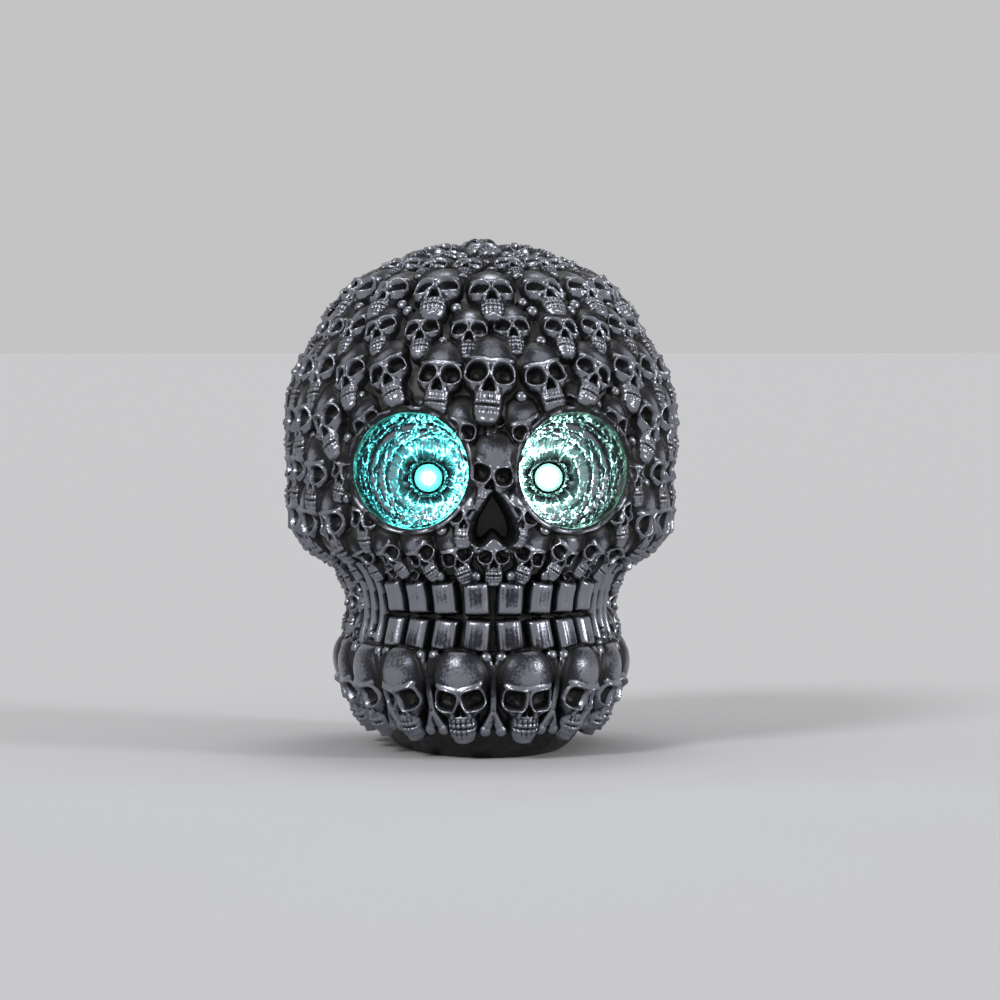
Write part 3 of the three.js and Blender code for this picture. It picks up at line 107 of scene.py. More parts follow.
# %% The net
ROWS, QUARTER = 636, 280  # rows, and columns in a quarter of a turn
LEFT_JOINT, MIDDLE, RIGHT_JOINT, COLUMNS = (k * QUARTER for k in (1, 2, 3, 4))
WIDEST_LEVEL, ANGLE_STEPS = 12.0, 3001  # where columns are even, and how finely that is measured
CROWN_GAP = 1.2  # the last row stops this far from the top


def travelled(points):
    """Length along a line of points, from its first."""
    steps = np.linalg.norm(np.diff(points, axis=0), axis=1)
    return np.concatenate([[0], np.cumsum(steps)])


def even_angles(start, end):
    """Angles of a quarter's columns, an even distance apart round the widest section."""
    fine = np.linspace(start, end, ANGLE_STEPS)
    run = travelled(skin(fine, np.full_like(fine, WIDEST_LEVEL)))
    return np.interp(np.linspace(0, run[-1], QUARTER + 1), run, fine)[:-1]


turns = np.pi / 2 * np.arange(-2, 3)
angles = np.concatenate([even_angles(start, end) for start, end in zip(turns, turns[1:])])
climb = travelled(skin(np.full_like(LEVELS, np.pi / 4), LEVELS))
levels = np.interp(np.linspace(0, climb[-1] - CROWN_GAP, ROWS), climb, LEVELS)
bare = skin(angles[None, :], levels[:, None])
around = np.stack([travelled(line) for line in bare])
around = around - around[:, MIDDLE:MIDDLE + 1]  # distance round the skin from the middle of the face


def unit(vectors):
    """Vectors made one long."""
    return vectors / np.maximum(np.linalg.norm(vectors, axis=-1, keepdims=True), 1e-9)


def normals_of(points):
    """Outward directions of a net: the way across times the way up."""
    across = np.roll(points, -1, 1) - np.roll(points, 1, 1)
    return unit(np.cross(across, np.gradient(points, axis=0)))


normal = normals_of(bare)
print("net of", ROWS, "x", COLUMNS, "points, rows", round(climb[-1] / ROWS, 2), "mm apart")

# %% [markdown]
# ## Tools for carving
# Three small functions do most of the carving: a bell-shaped ridge, a smooth step, and the
# distance to a short line. A fourth gives soft random lumps, so that no hollow is dead flat.

# %% Ridge, step, line and lumps
TABLE_ROWS = 257  # lumps repeat after so many cells upwards


def ridge(distance, width):
    """1 on a line, falling off like a bell over a width."""
    return np.exp(-(distance / width) ** 2)


def step(value, low, high):
    """0 below low and 1 above high, with a smooth S between."""
    t = np.clip((value - low) / (high - low), 0, 1)
    return t * t * (3 - 2 * t)


def to_line(a, b, start, end):
    """Distance from points to the line between two ends."""
    (sa, sb), (ea, eb) = start, end
    along = ((a - sa) * (ea - sa) + (b - sb) * (eb - sb)) / ((ea - sa) ** 2 + (eb - sb) ** 2)
    t = np.clip(along, 0, 1)
    return np.hypot(a - sa - t * (ea - sa), b - sb - t * (eb - sb))


def lumps(u, v, cells, seed):
    """Soft noise from 0 to 1: random values on whole numbers of u and v, eased between them.
    It meets itself after a number of cells in u."""
    table = np.random.default_rng(seed).random((cells, TABLE_ROWS))
    i, j = np.floor(u).astype(int), np.floor(v).astype(int)
    f, g = step(u - i, 0, 1), step(v - j, 0, 1)
    at = lambda di, dj: table[(i + di) % cells, (j + dj) % TABLE_ROWS]
    low = at(0, 0) * (1 - f) + at(1, 0) * f
    high = at(0, 1) * (1 - f) + at(1, 1) * f
    return low * (1 - g) + high * g


print("a ridge of width 1, at 0 and 1 from its line:", ridge(np.array([0.0, 1.0]), 1).round(2))

# %% [markdown]
# ## One small skull
# Every small skull is the same recipe in units of its own width: a domed brow over a narrower
# face, two sunk eyes with raised rims under slanting brows, a nose like an upturned heart,
# cheekbones, rows of knobby teeth and a chin. One function carves them all, and two numbers, the
# slant of the brows and the squareness of the eyes, keep them from looking stamped.

# %% The recipe
# height on the face in widths, with half the face's width there and how far it stands out
FACE_AT = [-0.86, -0.84, -0.78, -0.68, -0.52, -0.40, -0.33, -0.26, -0.14, 0.02, 0.14, 0.30]
FACE_HALF = [0.02, 0.12, 0.19, 0.235, 0.25, 0.26, 0.31, 0.39, 0.435, 0.45, 0.46, 0.44]
FACE_OUT = [0.02, 0.13, 0.215, 0.235, 0.25, 0.245, 0.24, 0.245, 0.25, 0.265, 0.27, 0.22]
DOME_AT, DOME_HALF, DOME_TALL, DOME_OUT = 0.28, 0.5, 0.53, 0.31
PIT_X, PIT_Z, PIT_HALF, PIT_TALL = 0.212, -0.055, 0.165, 0.16  # the eyes
PIT_EDGE, PIT_BOWL = 0.13, 0.10  # depth of an eye's steep edge, and of the bowl inside it
NOSTRIL_TOP, NOSTRIL_TALL, NOSTRIL_DEEP = -0.13, 0.20, 0.13
CHEEK_FROM, CHEEK_TO = (0.27, -0.27), (0.42, -0.15)
TOOTH_WIDE, TOOTH_TALL, TEETH_HALF, BITE_AT, CHIN_AT = 0.078, 0.042, 0.235, -0.54, -0.775
TOOTH_ROWS = ((-0.415, 0.018), (-0.495, 0.038), (-0.585, 0.038), (-0.665, 0.018))  # middle, height
FLOOR, NOTHING = 0.02, -9  # the least height inside a skull, and what stands for no height at all


def small_skull(a, b, slant, square):
    """Height of a skull over its own width, at places right of and above its middle: the higher of
    dome and face, plus what stands out of it, less what is sunk."""
    side = np.abs(a)
    dome = np.clip(1 - (a / DOME_HALF) ** 2 - ((b - DOME_AT) / DOME_TALL) ** 2, 0, None)
    share = np.clip(side / np.interp(b, FACE_AT, FACE_HALF), 0, 1)
    face = np.interp(b, FACE_AT, FACE_OUT) * (1 - share ** 2.6) ** 0.45
    face = np.where((b > FACE_AT[0]) & (b < FACE_AT[-1]), face, 0)
    h = np.maximum(DOME_OUT * np.sqrt(dome), face)
    inside = h > 0
    # eyes, with their rims and brows
    p, q = side - PIT_X, b - PIT_Z
    p, q = p * np.cos(slant) + q * np.sin(slant), q * np.cos(slant) - p * np.sin(slant)
    eye = (np.abs(p / PIT_HALF) ** square + np.abs(q / PIT_TALL) ** square) ** (1 / square)
    h += 0.055 * ridge(eye - 1.13, 0.13)
    h = h - PIT_EDGE * step(1.03 - eye, 0, 0.34) - PIT_BOWL * step(0.95 - eye, 0, 0.95)
    h += 0.04 * ridge(q - 0.205, 0.04) * step(0.25 - np.abs(p), 0, 0.07)
    # nose, with its rim and the bone down its middle
    down = (NOSTRIL_TOP - b) / NOSTRIL_TALL
    nostril = 0.025 + 0.085 * np.clip(down, 0, 1)
    within = step(down, 0, 0.25) * step(1.08 - down, 0, 0.25)
    beside = 1 - 0.75 * ridge(side, 0.016) * step(down, 0.4, 0.8)
    h += (0.035 * ridge(side - nostril - 0.028, 0.026)
          * step(down, -0.3, 0.2) * step(1.3 - down, 0, 0.2))
    h -= NOSTRIL_DEEP * step(nostril - side, 0, 0.035) * within * beside
    # cheekbones, hollow cheeks and temples
    h += 0.045 * ridge(to_line(side, b, CHEEK_FROM, CHEEK_TO), 0.05)
    h -= 0.035 * ridge(np.hypot(side - 0.30, b + 0.40), 0.07)
    h -= 0.05 * ridge(np.hypot((side - 0.47) / 0.06, (b - 0.10) / 0.11), 1)
    # teeth, the line between them and the chin
    column = 2 * np.abs((a / TOOTH_WIDE) % 1 - 0.5)
    for middle, proud in TOOTH_ROWS:
        row = np.clip(np.abs(b - middle) / TOOTH_TALL, 0, 1)
        h += proud * (1 - column ** 2.5) * (1 - row ** 3) * step(TEETH_HALF - side, 0, 0.05)
    h -= 0.04 * ridge(b - BITE_AT, 0.012) * step(0.21 - side, 0, 0.03)
    h += 0.03 * ridge(np.hypot(side / 0.10, (b - CHIN_AT) / 0.045), 1)
    return np.where(inside, np.maximum(h, FLOOR), NOTHING)


trial = small_skull(np.array([0.0, PIT_X]), np.array([DOME_AT, PIT_Z]), 0.2, 2.6)
print("heights of dome and eye of a 20 mm skull:", (20 * trial).round(1), "mm")

# %% [markdown]
# ## Pressing shapes into the net
# A stamp is pressed at one point of the net. The points near it are measured rightwards and
# upwards of the stamp, and each is raised to the stamp's height where that is higher than what is
# there. So neighbours overlap as carved pieces do, with a sharp dark line where they meet.

# %% The press
SUNK = 2.6  # the floor between the small skulls lies this far under the plain skin
LUMPS_ROUND, LUMP_ROWS, LUMP_TALL = 110, 7.5, 0.9  # lumps of that floor
ROW_STEP = 0.3  # rows are never nearer than this
SLANTS, SQUARES, NOD, SKULL_REACH = (0.08, 0.34), (2.2, 3.0), 0.13, 0.95
DOME_BRUSH_AND_HIGHLIGHT, HIGHLIGHT_UP, HIGHLIGHT_WIDE = 0.24, 0.25, 0.22  # brighter pewter on the front of a dome, partly dry-brush and partly a painted highlight: how much, and where in widths
relief = -SUNK + LUMP_TALL * lumps(np.arange(COLUMNS)[None, :] / COLUMNS * LUMPS_ROUND,
                                   np.arange(ROWS)[:, None] / LUMP_ROWS, LUMPS_ROUND, 1)
dome_brush_and_highlight = np.zeros((ROWS, COLUMNS))  # dry-brush and painted highlight that a stamp brings along, besides what its height gets


def press(row, column, reach, lean, form, brush_and_highlight=lambda a, b: 0.0):
    """Raises the net round a point to form(right, up), in millimetres, turned by lean, and gives it
    there the brighter pewter of its last argument, partly dry-brush and partly a painted highlight."""
    centre, out = bare[row, column], normal[row, column]
    up = unit(bare[min(row + 1, ROWS - 1), column] - bare[max(row - 1, 0), column])
    right = np.cross(up, out)
    ways = np.cos(lean) * right + np.sin(lean) * up, np.cos(lean) * up - np.sin(lean) * right
    rows = slice(max(row - int(reach / ROW_STEP), 0), row + int(reach / ROW_STEP))
    offset = bare[rows] - centre
    near = ((offset ** 2).sum(-1) < reach ** 2) & (normal[rows] @ out > 0.1)
    right_of, above = offset[near] @ ways[0], offset[near] @ ways[1]
    made, before = form(right_of, above), relief[rows][near]
    relief[rows][near] = np.maximum(before, made)
    dome_brush_and_highlight[rows][near] = np.where(made > before, brush_and_highlight(right_of, above), dome_brush_and_highlight[rows][near])


def press_skull(row, column, width, lean, sunk=SUNK, nod=NOD, squarer=0.0):
    """One small skull of a width, with brows and eyes of its own. It nods: its chin comes forward
    and its dome goes back, so that it lies over the domes below it."""
    slant, square = chance.uniform(*SLANTS), chance.uniform(*SQUARES) + squarer

    def form(a, b):
        return width * (small_skull(a / width, b / width, slant, square) - nod * b / width) - sunk

    # a brighter pewter spot on the front of the dome, partly dry-brush and partly a painted highlight
    brush_and_highlight = lambda a, b: DOME_BRUSH_AND_HIGHLIGHT * ridge(np.hypot(a, b - HIGHLIGHT_UP * width), HIGHLIGHT_WIDE * width)
    press(row, column, SKULL_REACH * width, lean, form, brush_and_highlight)


def row_at(z):
    """The net's row at a height."""
    return int(np.abs(bare[:, 0, 2] - z).argmin())


def column_at(row, arc):
    """The column that lies a distance round the skin from the middle of the face."""
    return int(np.abs(around[row] - arc).argmin())


print("half way round at the brow:", round(around[row_at(150), -1]), "mm")

# %% [markdown]
# ## Eyes, nose and mouth set the places
# The carving keeps clear of the eye sockets, the nose and the teeth. So these are worked out
# first, as a distance from each rim over the whole net, from the same sizes as the solid model.

# %% Distances from the eyes and the nose
EYE_X, EYE_Z, EYE_WIDE, EYE_TALL = 32.0, 114.0, 22.0, 23.0
EYE_FLOOR_Y, BOWL_FLOOR, LAMP_X, LAMP_Z = -55.0, 9.5, 24.0, 110.0
NOSE_FROM, NOSE_TO, NOSE_HALF, NOSE_DEEP = 84.0, 107.0, 10.0, 11.0
NOTCH_TALL, NOTCH_HALF = 3.5, 3.0  # the point that rises into the nose from below
# share of the nose's height, and of its half width there
NOSE_AT, NOSE_SHARE = [0, 0.1, 0.25, 0.45, 0.7, 0.9, 1], [0.55, 0.9, 1, 0.88, 0.55, 0.26, 0]
bare_x, bare_y, bare_z = np.moveaxis(bare, -1, 0)
rim_share = np.hypot((np.abs(bare_x) - EYE_X) / EYE_WIDE, (bare_z - EYE_Z) / EYE_TALL)
rim_share = np.where(bare_y < 0, rim_share, 9.0)
nose_up = (bare_z - NOSE_FROM) / (NOSE_TO - NOSE_FROM)
nose_half = NOSE_HALF * np.interp(nose_up, NOSE_AT, NOSE_SHARE)
notch = NOTCH_TALL * ridge(bare_x, NOTCH_HALF)
in_nose = np.minimum(nose_half - np.abs(bare_x), bare_z - NOSE_FROM - notch)
in_nose = np.where(bare_y < 0, np.minimum(in_nose, NOSE_TO - bare_z), -99.0)
print("points inside the eyes:", int((rim_share < 1).sum()), "and the nose:", int((in_nose > 0).sum()))

# %% [markdown]
# ## Large skulls round the jaw, with bones between them
# Sixteen larger skulls stand side by side round the jaw, chins at the table. Bones with two
# knobs at each end fill the gaps between them.

# %% Jaw
JAW_PITCH, JAW_WIDTH, JAW_Z, JAW_SUNK, JAW_SQUARER, JAW_SWAY = 26.5, 23.0, 26.0, 0.4, 0.9, 0.05
SHAFT_RADIUS, SHAFT_HALF, ARM_RADIUS, BALL_RADIUS = 1.6, 9, 2.0, 2.5
ARM_FROM, ARM_TO, BALL_X, BALL_Z, BONE_PROUD, BONE_REACH = (0.0, 7.5), (2.9, 14.0), 3.0, 14.4, 0.9, 19.0


def knobbed_bone(a, b):
    """A shaft that forks at each end into two short arms with a knob on each, as heights of round
    bars and balls."""
    side, along = np.abs(a), np.abs(b)
    shaft = np.where(along < SHAFT_HALF, SHAFT_RADIUS ** 2 - a ** 2, -1)
    arms = ARM_RADIUS ** 2 - to_line(side, along, ARM_FROM, ARM_TO) ** 2
    knobs = BALL_RADIUS ** 2 - (side - BALL_X) ** 2 - (along - BALL_Z) ** 2
    highest = np.maximum(np.maximum(shaft, knobs), arms)
    return np.where(highest > 0, BONE_PROUD + np.sqrt(np.clip(highest, 0, None)), NOTHING)


jaw_row = row_at(JAW_Z)
jaw_count = int(round(around[jaw_row, -1] / JAW_PITCH))
jaw_pitch = around[jaw_row, -1] / jaw_count
for i in range(jaw_count + 1):
    for side in (1, -1) if 0 < i < jaw_count else (1,):
        press(jaw_row, column_at(jaw_row, side * i * jaw_pitch), BONE_REACH, 0.0, knobbed_bone)
for i in range(jaw_count):
    for side in (1, -1):
        place = column_at(jaw_row, side * (i + 0.5) * jaw_pitch)
        lean = chance.uniform(-JAW_SWAY, JAW_SWAY)
        press_skull(jaw_row, place, JAW_WIDTH, lean, sunk=JAW_SUNK, nod=0.0, squarer=JAW_SQUARER)
print(2 * jaw_count, "jaw skulls,", round(jaw_pitch, 1), "mm apart")

# %% [markdown]
# ## Teeth and the long bones of the waist
# The teeth are tall rounded blocks in two rows. Behind the last of them, smooth long bones run
# from the cheek down to the jaw, and clusters of bone knobs sit on the corners of the jaw.

# %% Teeth, long bones and knobs
TOOTH_PITCH, TEETH_A_SIDE, BITE_Z, TOOTH_HALF, TOOTH_PROUD, TOOTH_SUNK = 13.2, 4, 56.4, 5.1, 4.0, 0.8
TEETH = ((7.4, 6.5), (-7.2, 6.3))  # middle above the bite and half height, of both rows
BONE_PITCH, BONES_A_SIDE, BONE_Z, BONE_HALF, FIRST_BONE, BONE_LEAN = 8.4, 3, 63, 20, 5.5, 0.05
MOUTH_FROM, MOUTH_TO, MOUTH_ARC, MOUTH_BACK, MOUTH_DEEP = 43, 72, 82, 20, 1.6
CORNER_KNOBS, CORNER_Z, CORNER_ARC, CORNER_RADIUS = 22, (42, 49), (50, 84), (1.6, 2.4)


def tooth(half_height):
    """A tall rounded block: a slight crown across it times steep falls to its sides and ends, with
    two shallow grooves on each side of its face."""
    def form(a, b):
        side = np.abs(a)
        fall_a = np.clip(1 - np.abs(a / TOOTH_HALF) ** 3.2, 0, None) ** 0.45
        fall_b = np.clip(1 - np.abs(b / half_height) ** 9, 0, None) ** 0.4
        grooves = 0.16 * (ridge(side - 0.36 * TOOTH_HALF, 0.5) + ridge(side - 0.7 * TOOTH_HALF, 0.4))
        block = (TOOTH_PROUD - grooves) * fall_a * fall_b - TOOTH_SUNK
        return np.where(fall_a * fall_b > 0, block, NOTHING)
    return form


def long_bone(a, b):
    """A bowed round bar, highest in its middle, with a slight swelling at each end."""
    radius = 1.8 + 0.6 * ridge(np.abs(b) - 18, 5)
    bow = 1.4 * np.clip(1 - (b / BONE_HALF) ** 2, 0, None)
    bar = 1.6 * np.sqrt(np.clip(radius ** 2 - a ** 2, 0, None)) + bow
    return np.where((np.abs(a) < radius) & (np.abs(b) < BONE_HALF), bar - SUNK, NOTHING)


def knob(radius, proud):
    """A ball sunk half a millimetre in the skin."""
    def form(a, b):
        ball = np.sqrt(np.clip(radius ** 2 - a * a - b * b, 0, None)) * proud - 0.5
        return np.where(a * a + b * b < radius ** 2, ball, NOTHING)
    return form


aside = np.abs(around)
mouth = (bare_y < MOUTH_BACK) & (bare_z > MOUTH_FROM) & (bare_z < MOUTH_TO) & (aside < MOUTH_ARC)
relief[mouth] -= MOUTH_DEEP
for above, half_height in TEETH:
    row = row_at(BITE_Z + above)
    for i in range(TEETH_A_SIDE):
        for side in (1, -1):
            place = column_at(row, side * (i + 0.5) * TOOTH_PITCH)
            press(row, place, 9.5, 0.0, tooth(half_height))
bone_row = row_at(BONE_Z)
for i in range(BONES_A_SIDE):
    for side in (1, -1):
        arc = side * (TEETH_A_SIDE * TOOTH_PITCH + FIRST_BONE + i * BONE_PITCH)
        press(bone_row, column_at(bone_row, arc), BONE_HALF, BONE_LEAN * side, long_bone)
for i in range(CORNER_KNOBS):
    row = row_at(chance.uniform(*CORNER_Z))
    arc = (1 if i % 2 else -1) * chance.uniform(*CORNER_ARC)
    press(row, column_at(row, arc), 3.0, 0.0, knob(chance.uniform(*CORNER_RADIUS), 1.3))
print(4 * TEETH_A_SIDE, "teeth and", 2 * BONES_A_SIDE, "long bones")

# %% [markdown]
# ## Rows of small skulls over the head
# The small skulls sit in rows 20 mm apart, each row shifted by half a skull against the next, as
# on the solid model. On the brow they lean, so that their chins point to the nearer eye. A row of
# smaller ones stands on the upper teeth.

# %% Rows of small skulls
ROW_PITCH, BROW_Z, ROWS_BELOW, ROWS_ABOVE = 20.0, 153.0, 6, 3
NARROWEST, WIDEST, BIGGEST = 15.0, 22.5, 24.5  # the biggest is the one in the middle of the brow
COUNTS = 24, 16, 12, 8  # skulls that a row may have, so that they stay wide enough
MARGIN = 8.0  # from a skull's middle to the edge of an eye or the nose
LOWEST, HIGHEST, FRONT_Y = 46, 197, -25  # where small skulls may sit, and where the front begins
LIP_Z, LIP_PITCH, LIP_WIDTH, LIP_A_SIDE = 81.5, 15.0, 15.5, 3  # the row on the upper teeth
SPREAD, MOST_LEAN = 0.52, 0.5  # how far a skull spreads in widths, and leans at most
INNER = 6  # chins point this far inside the middle of an eye
in_front = bare_y < FRONT_Y
by_eye = np.hypot((np.abs(bare_x) - EYE_X) / (EYE_WIDE + MARGIN),
                  (bare_z - EYE_Z) / (EYE_TALL + MARGIN)) < 1
by_nose = (np.abs(bare_x) < NOSE_HALF + MARGIN) & (bare_z > NOSE_FROM) & (bare_z < NOSE_TO)
free = (bare_z > LOWEST) & (bare_z < HIGHEST) & ~(in_front & (by_eye | by_nose | (bare_z < LIP_Z)))
laid = []


def lean_at(row, column):
    """The lean that turns a chin towards the nearer eye. It fades out away from the brow, and on the
    middle line."""
    here, out = bare[row, column], normal[row, column]
    side = 1 if here[0] > 0 else -1
    eye = np.array([side * (EYE_X - INNER), face_y(EYE_X - INNER, EYE_Z), EYE_Z])
    up = unit(np.cross(out, np.cross((0, 0, 1), out)))
    towards = eye - here
    lean = np.arctan2(towards @ np.cross(up, out), -towards @ up)
    nearness = step(105 - np.linalg.norm(towards), 0, 70) * step(here[2], 112, 132)
    off_middle = step(abs(here[0]), 3, 16)
    return float(np.clip(lean, -MOST_LEAN, MOST_LEAN) * nearness * off_middle * step(-here[1], 15, 50))


def lay(row, column, width, lean):
    """Presses a skull and notes where it is and how far it spreads."""
    press_skull(row, column, width, lean)
    laid.append((bare[row, column], SPREAD * width))


side_climb = np.interp(levels, LEVELS, climb)
brow_climb = side_climb[row_at(BROW_Z)]
for number in range(-ROWS_BELOW, ROWS_ABOVE + 1):
    row = int(np.abs(side_climb - brow_climb - number * ROW_PITCH).argmin())
    round_here = 2 * around[row, -1]
    count = next((n for n in COUNTS if round_here / n > NARROWEST), COUNTS[-1])
    for i in range(count):
        arc = ((i + 0.5 * (number % 2)) / count - 0.5) * round_here
        if free[row, column_at(row, arc)]:
            spot = row + int(chance.integers(-2, 3))
            column = column_at(row, arc + chance.normal(0, 0.7))
            width = min(round_here / count, WIDEST) * chance.uniform(0.95, 1.04)
            width = BIGGEST if number == 0 and abs(arc) < 1 else width
            lay(spot, column, width, lean_at(spot, column) + chance.normal(0, 0.05))
lip_row = row_at(LIP_Z)
for i in range(-LIP_A_SIDE, LIP_A_SIDE + 1):
    lay(lip_row, column_at(lip_row, i * LIP_PITCH), LIP_WIDTH, 0.0)
print(len(laid), "small skulls in rows")

# %% [markdown]
# ## Filling the gaps
# The gaps that are left, mostly round the eyes, are found by always taking the free point that is
# farthest from every skull so far. It gets a smaller skull that fits, and in the end a bone knob.

# %% Fill the gaps
EVERY, MOST_FILLERS = 4, 900  # only each fourth point is tried
KNOB_ROOM, SKULL_ROOM, WIDTH_FOR_ROOM = 2.2, 4.2, 2.1
FILLER_WIDTH, KNOB_RADIUS = (9, 17), 2.6
clear = (rim_share > 1.12) & (in_nose < -1.5) & (bare_z > LOWEST) & ~mouth
waist = in_front & (bare_z < 80) & (aside < 80) & (aside > 50)  # where the long bones are
spots = np.argwhere((clear & ~waist)[::EVERY, ::EVERY]) * EVERY
spot_points = bare[spots[:, 0], spots[:, 1]]
room = np.full(len(spots), 99.0)
for point, spread in laid:
    room = np.minimum(room, np.linalg.norm(spot_points - point, axis=1) - spread)
fillers = knobs = 0
for _ in range(MOST_FILLERS):
    widest = int(room.argmax())
    gap = room[widest]
    if gap < KNOB_ROOM:
        break
    row, column = spots[widest]
    if gap > SKULL_ROOM:
        width = float(np.clip(WIDTH_FOR_ROOM * gap, *FILLER_WIDTH))
        press_skull(row, column, width, lean_at(row, column) + chance.normal(0, 0.15))
        gap, fillers = 0.5 * width, fillers + 1
    else:
        press(row, column, 4.0, 0.0, knob(min(gap, KNOB_RADIUS), 1.0))
        knobs += 1
    room = np.minimum(room, np.linalg.norm(spot_points - spot_points[widest], axis=1) - gap)
print(fillers, "skulls and", knobs, "knobs in the gaps")

# %% [markdown]
# ## Rims of the eyes and the nose, and the foot
# A rounded, wrinkled ridge is laid round each eye and a plain one round the nose, the nose is
# sunk, and what lies just outside the eyes eases into their rims. At the foot the carving dies out.

# %% Rims and foot
RIM_TALL, RIM_AT, RIM_WIDE, RIM_WRINKLE, RIM_CELLS = 1.3, 1.07, 0.06, 1.2, 46
NOSE_RIM, NOSE_RIM_AT, NOSE_RIM_WIDE, NOSE_RIM_SUNK = 1.5, 1.6, 1.3, 0.6
FOOT_LOW, FOOT_TALL = 4.5, 5.0
turn_at = np.arctan2(bare_z - EYE_Z, np.abs(bare_x) - EYE_X)
wrinkle = lumps((turn_at / (2 * np.pi) + 0.5) * RIM_CELLS, rim_share * 16, RIM_CELLS, 5)
rim_height = RIM_TALL * ridge(rim_share - RIM_AT, RIM_WIDE) + RIM_WRINKLE * (wrinkle - 0.5)
into_rim = step(1.20 - rim_share, 0, 0.12)
relief = relief * (1 - into_rim) + np.maximum(rim_height, 0.5 * relief) * into_rim
nose_rim = NOSE_RIM * ridge(in_nose + NOSE_RIM_AT, NOSE_RIM_WIDE) - NOSE_RIM_SUNK
relief = np.maximum(relief, np.where(np.abs(in_nose + NOSE_RIM_AT) < 3, nose_rim, NOTHING))
relief = relief - (NOSE_DEEP + relief) * step(in_nose, -0.4, 3.2)
relief = np.where(bare_z < FOOT_LOW, np.minimum(relief, 0.25 * relief), relief)
relief = relief * step(bare_z, 0, FOOT_TALL)
print("carving from", relief.min().round(1), "to", relief.max().round(1), "mm")

# %% [markdown]
# ## Where the paint is rubbed bright
# The moulding is black, and pewter paint is dragged over it with a nearly dry brush, which
# touches only what stands out. So the paint needs to know, at each point, how far it stands
# above the skin around it. That is the carving less a blurred copy of itself, at three sizes.

# %% Brush and hollow values
BLURS, FOOT_FADE = (3, 12, 30), (3, 8)  # points, and the heights over which the rub rises from none, so the foot is darker towards the bottom


def blurred(field, reach):
    """A field averaged with a bell-shaped weight over reach points each way."""
    offsets = np.arange(-2 * reach, 2 * reach + 1)
    weights = np.exp(-(offsets / reach) ** 2)
    weights = weights / weights.sum()
    padded = np.pad(field, ((2 * reach, 2 * reach), (0, 0)), mode="edge")
    smooth = sum(w * padded[i:i + len(field)] for i, w in enumerate(weights))
    return sum(w * np.roll(smooth, o, 1) for o, w in zip(offsets, weights))


fine, broad, whole = (relief - blurred(relief, reach) for reach in BLURS)
# the rub also takes the dome spots, which are partly dry-brush and partly a painted highlight
rub = np.clip(0.30 + 0.70 * fine + 0.17 * broad + 0.05 * whole + dome_brush_and_highlight, 0, 1)
# the rub fades out towards the foot, so the foot is darker towards the bottom
rub = rub * step(bare_z, *FOOT_FADE)
# hollow: how far a point lies below the skin around it. The shader uses it to make hollows and creases
# darker and matter, partly the black resin that the brush misses and partly painted shade
hollow = np.clip(-0.55 * fine - 0.30 * broad, 0, 1)
carved = bare + normal * relief[..., None]
print("mean rub", rub.mean().round(2), "and mean hollow", hollow.mean().round(2))

# %% [markdown]
# ## Eye bowls
# Inside a rim the skin turns in and becomes the wall of a bowl that narrows to a round floor with
# the lamp in it: a ring at each depth, whose centre slides from the rim's to the lamp's and whose
# radius shrinks as a quarter circle. The first third belongs to the face half and the rest to a
# cup behind it. The wall is wrinkled like cooled wax.

# %% The bowl
ROLLS = ((0.48, 1.5, 0.05), (0.68, 1.3, 0.045), (0.84, 2.0, 0.05))  # depth, height and width of each
LIP_SHARE, LIP_DEPTH = 0.74, 0.36  # where the face half's part of a bowl ends, on the net and in depth
EDGE_PROUD, EDGE_DEPTH = 0.7, 0.05


def wrinkles(turn, run):
    """Height of wrinkles at a place round the bowl and a run into it: creases where soft noise is
    near its middle value, in a coarse and a fine size, and a few rolls. All wander with a third
    noise."""
    cell = (turn / (2 * np.pi) + 0.5) % 1
    wander = lumps(cell * 9, run * 5, 9, 11)
    folds = 1 - np.abs(2 * lumps(cell * 24, run * 12 + 1.6 * wander, 24, 12) - 1)
    creases = 1 - np.abs(2 * lumps(cell * 56, run * 26 + 2.2 * wander, 56, 13) - 1)
    rolls = sum(tall * ridge(run - at - 0.10 * wander, wide) for at, tall, wide in ROLLS)
    return 1.5 * folds ** 2 + 0.9 * creases ** 3 + rolls


def bowl(side, turn, depth):
    """A point of a bowl: centre and radius of the ring at a depth from 0 to 1, less its wrinkles."""
    round_in = np.sqrt(np.clip(1 - depth ** 2, 0, 1))
    wide = BOWL_FLOOR + (EYE_WIDE - BOWL_FLOOR) * round_in
    tall = BOWL_FLOOR + (EYE_TALL - BOWL_FLOOR) * round_in
    height = wrinkles(turn, depth) * step(depth, 0.0, 0.12)
    rim_x, rim_z = EYE_X + EYE_WIDE * np.cos(turn), EYE_Z + EYE_TALL * np.sin(turn)
    x = EYE_X + (LAMP_X - EYE_X) * depth + (wide - height) * np.cos(turn)
    z = EYE_Z + (LAMP_Z - EYE_Z) * depth + (tall - height) * np.sin(turn)
    y = (1 - depth) * face_y(rim_x, rim_z) + depth * EYE_FLOOR_Y
    return np.stack([side * x, y, z], -1), height


def bowl_paint(height):
    """Rub and hollow values in a bowl: bright on its wrinkles, and dark at the bottom of them, partly
    black resin and partly painted shade.
    """
    return np.clip(0.08 + 0.32 * height, 0, 1), np.clip(0.42 - 0.5 * height, 0, 1)


for side in (1, -1):
    part = (rim_share < 1) & (side * bare_x > 0)
    depth = np.clip((1 - rim_share[part]) / (1 - LIP_SHARE), 0, 1.3) * LIP_DEPTH
    carved[part], height = bowl(side, turn_at[part], depth)
    edge = EDGE_PROUD * np.exp(-depth / EDGE_DEPTH)
    carved[part] += edge[:, None] * normal[part]
    rub[part], hollow[part] = bowl_paint(height)
finished_normal = normals_of(carved)
print("bowl floor at y", EYE_FLOOR_Y, "mm, rim at y", face_y(EYE_X, EYE_Z).round(1), "mm")

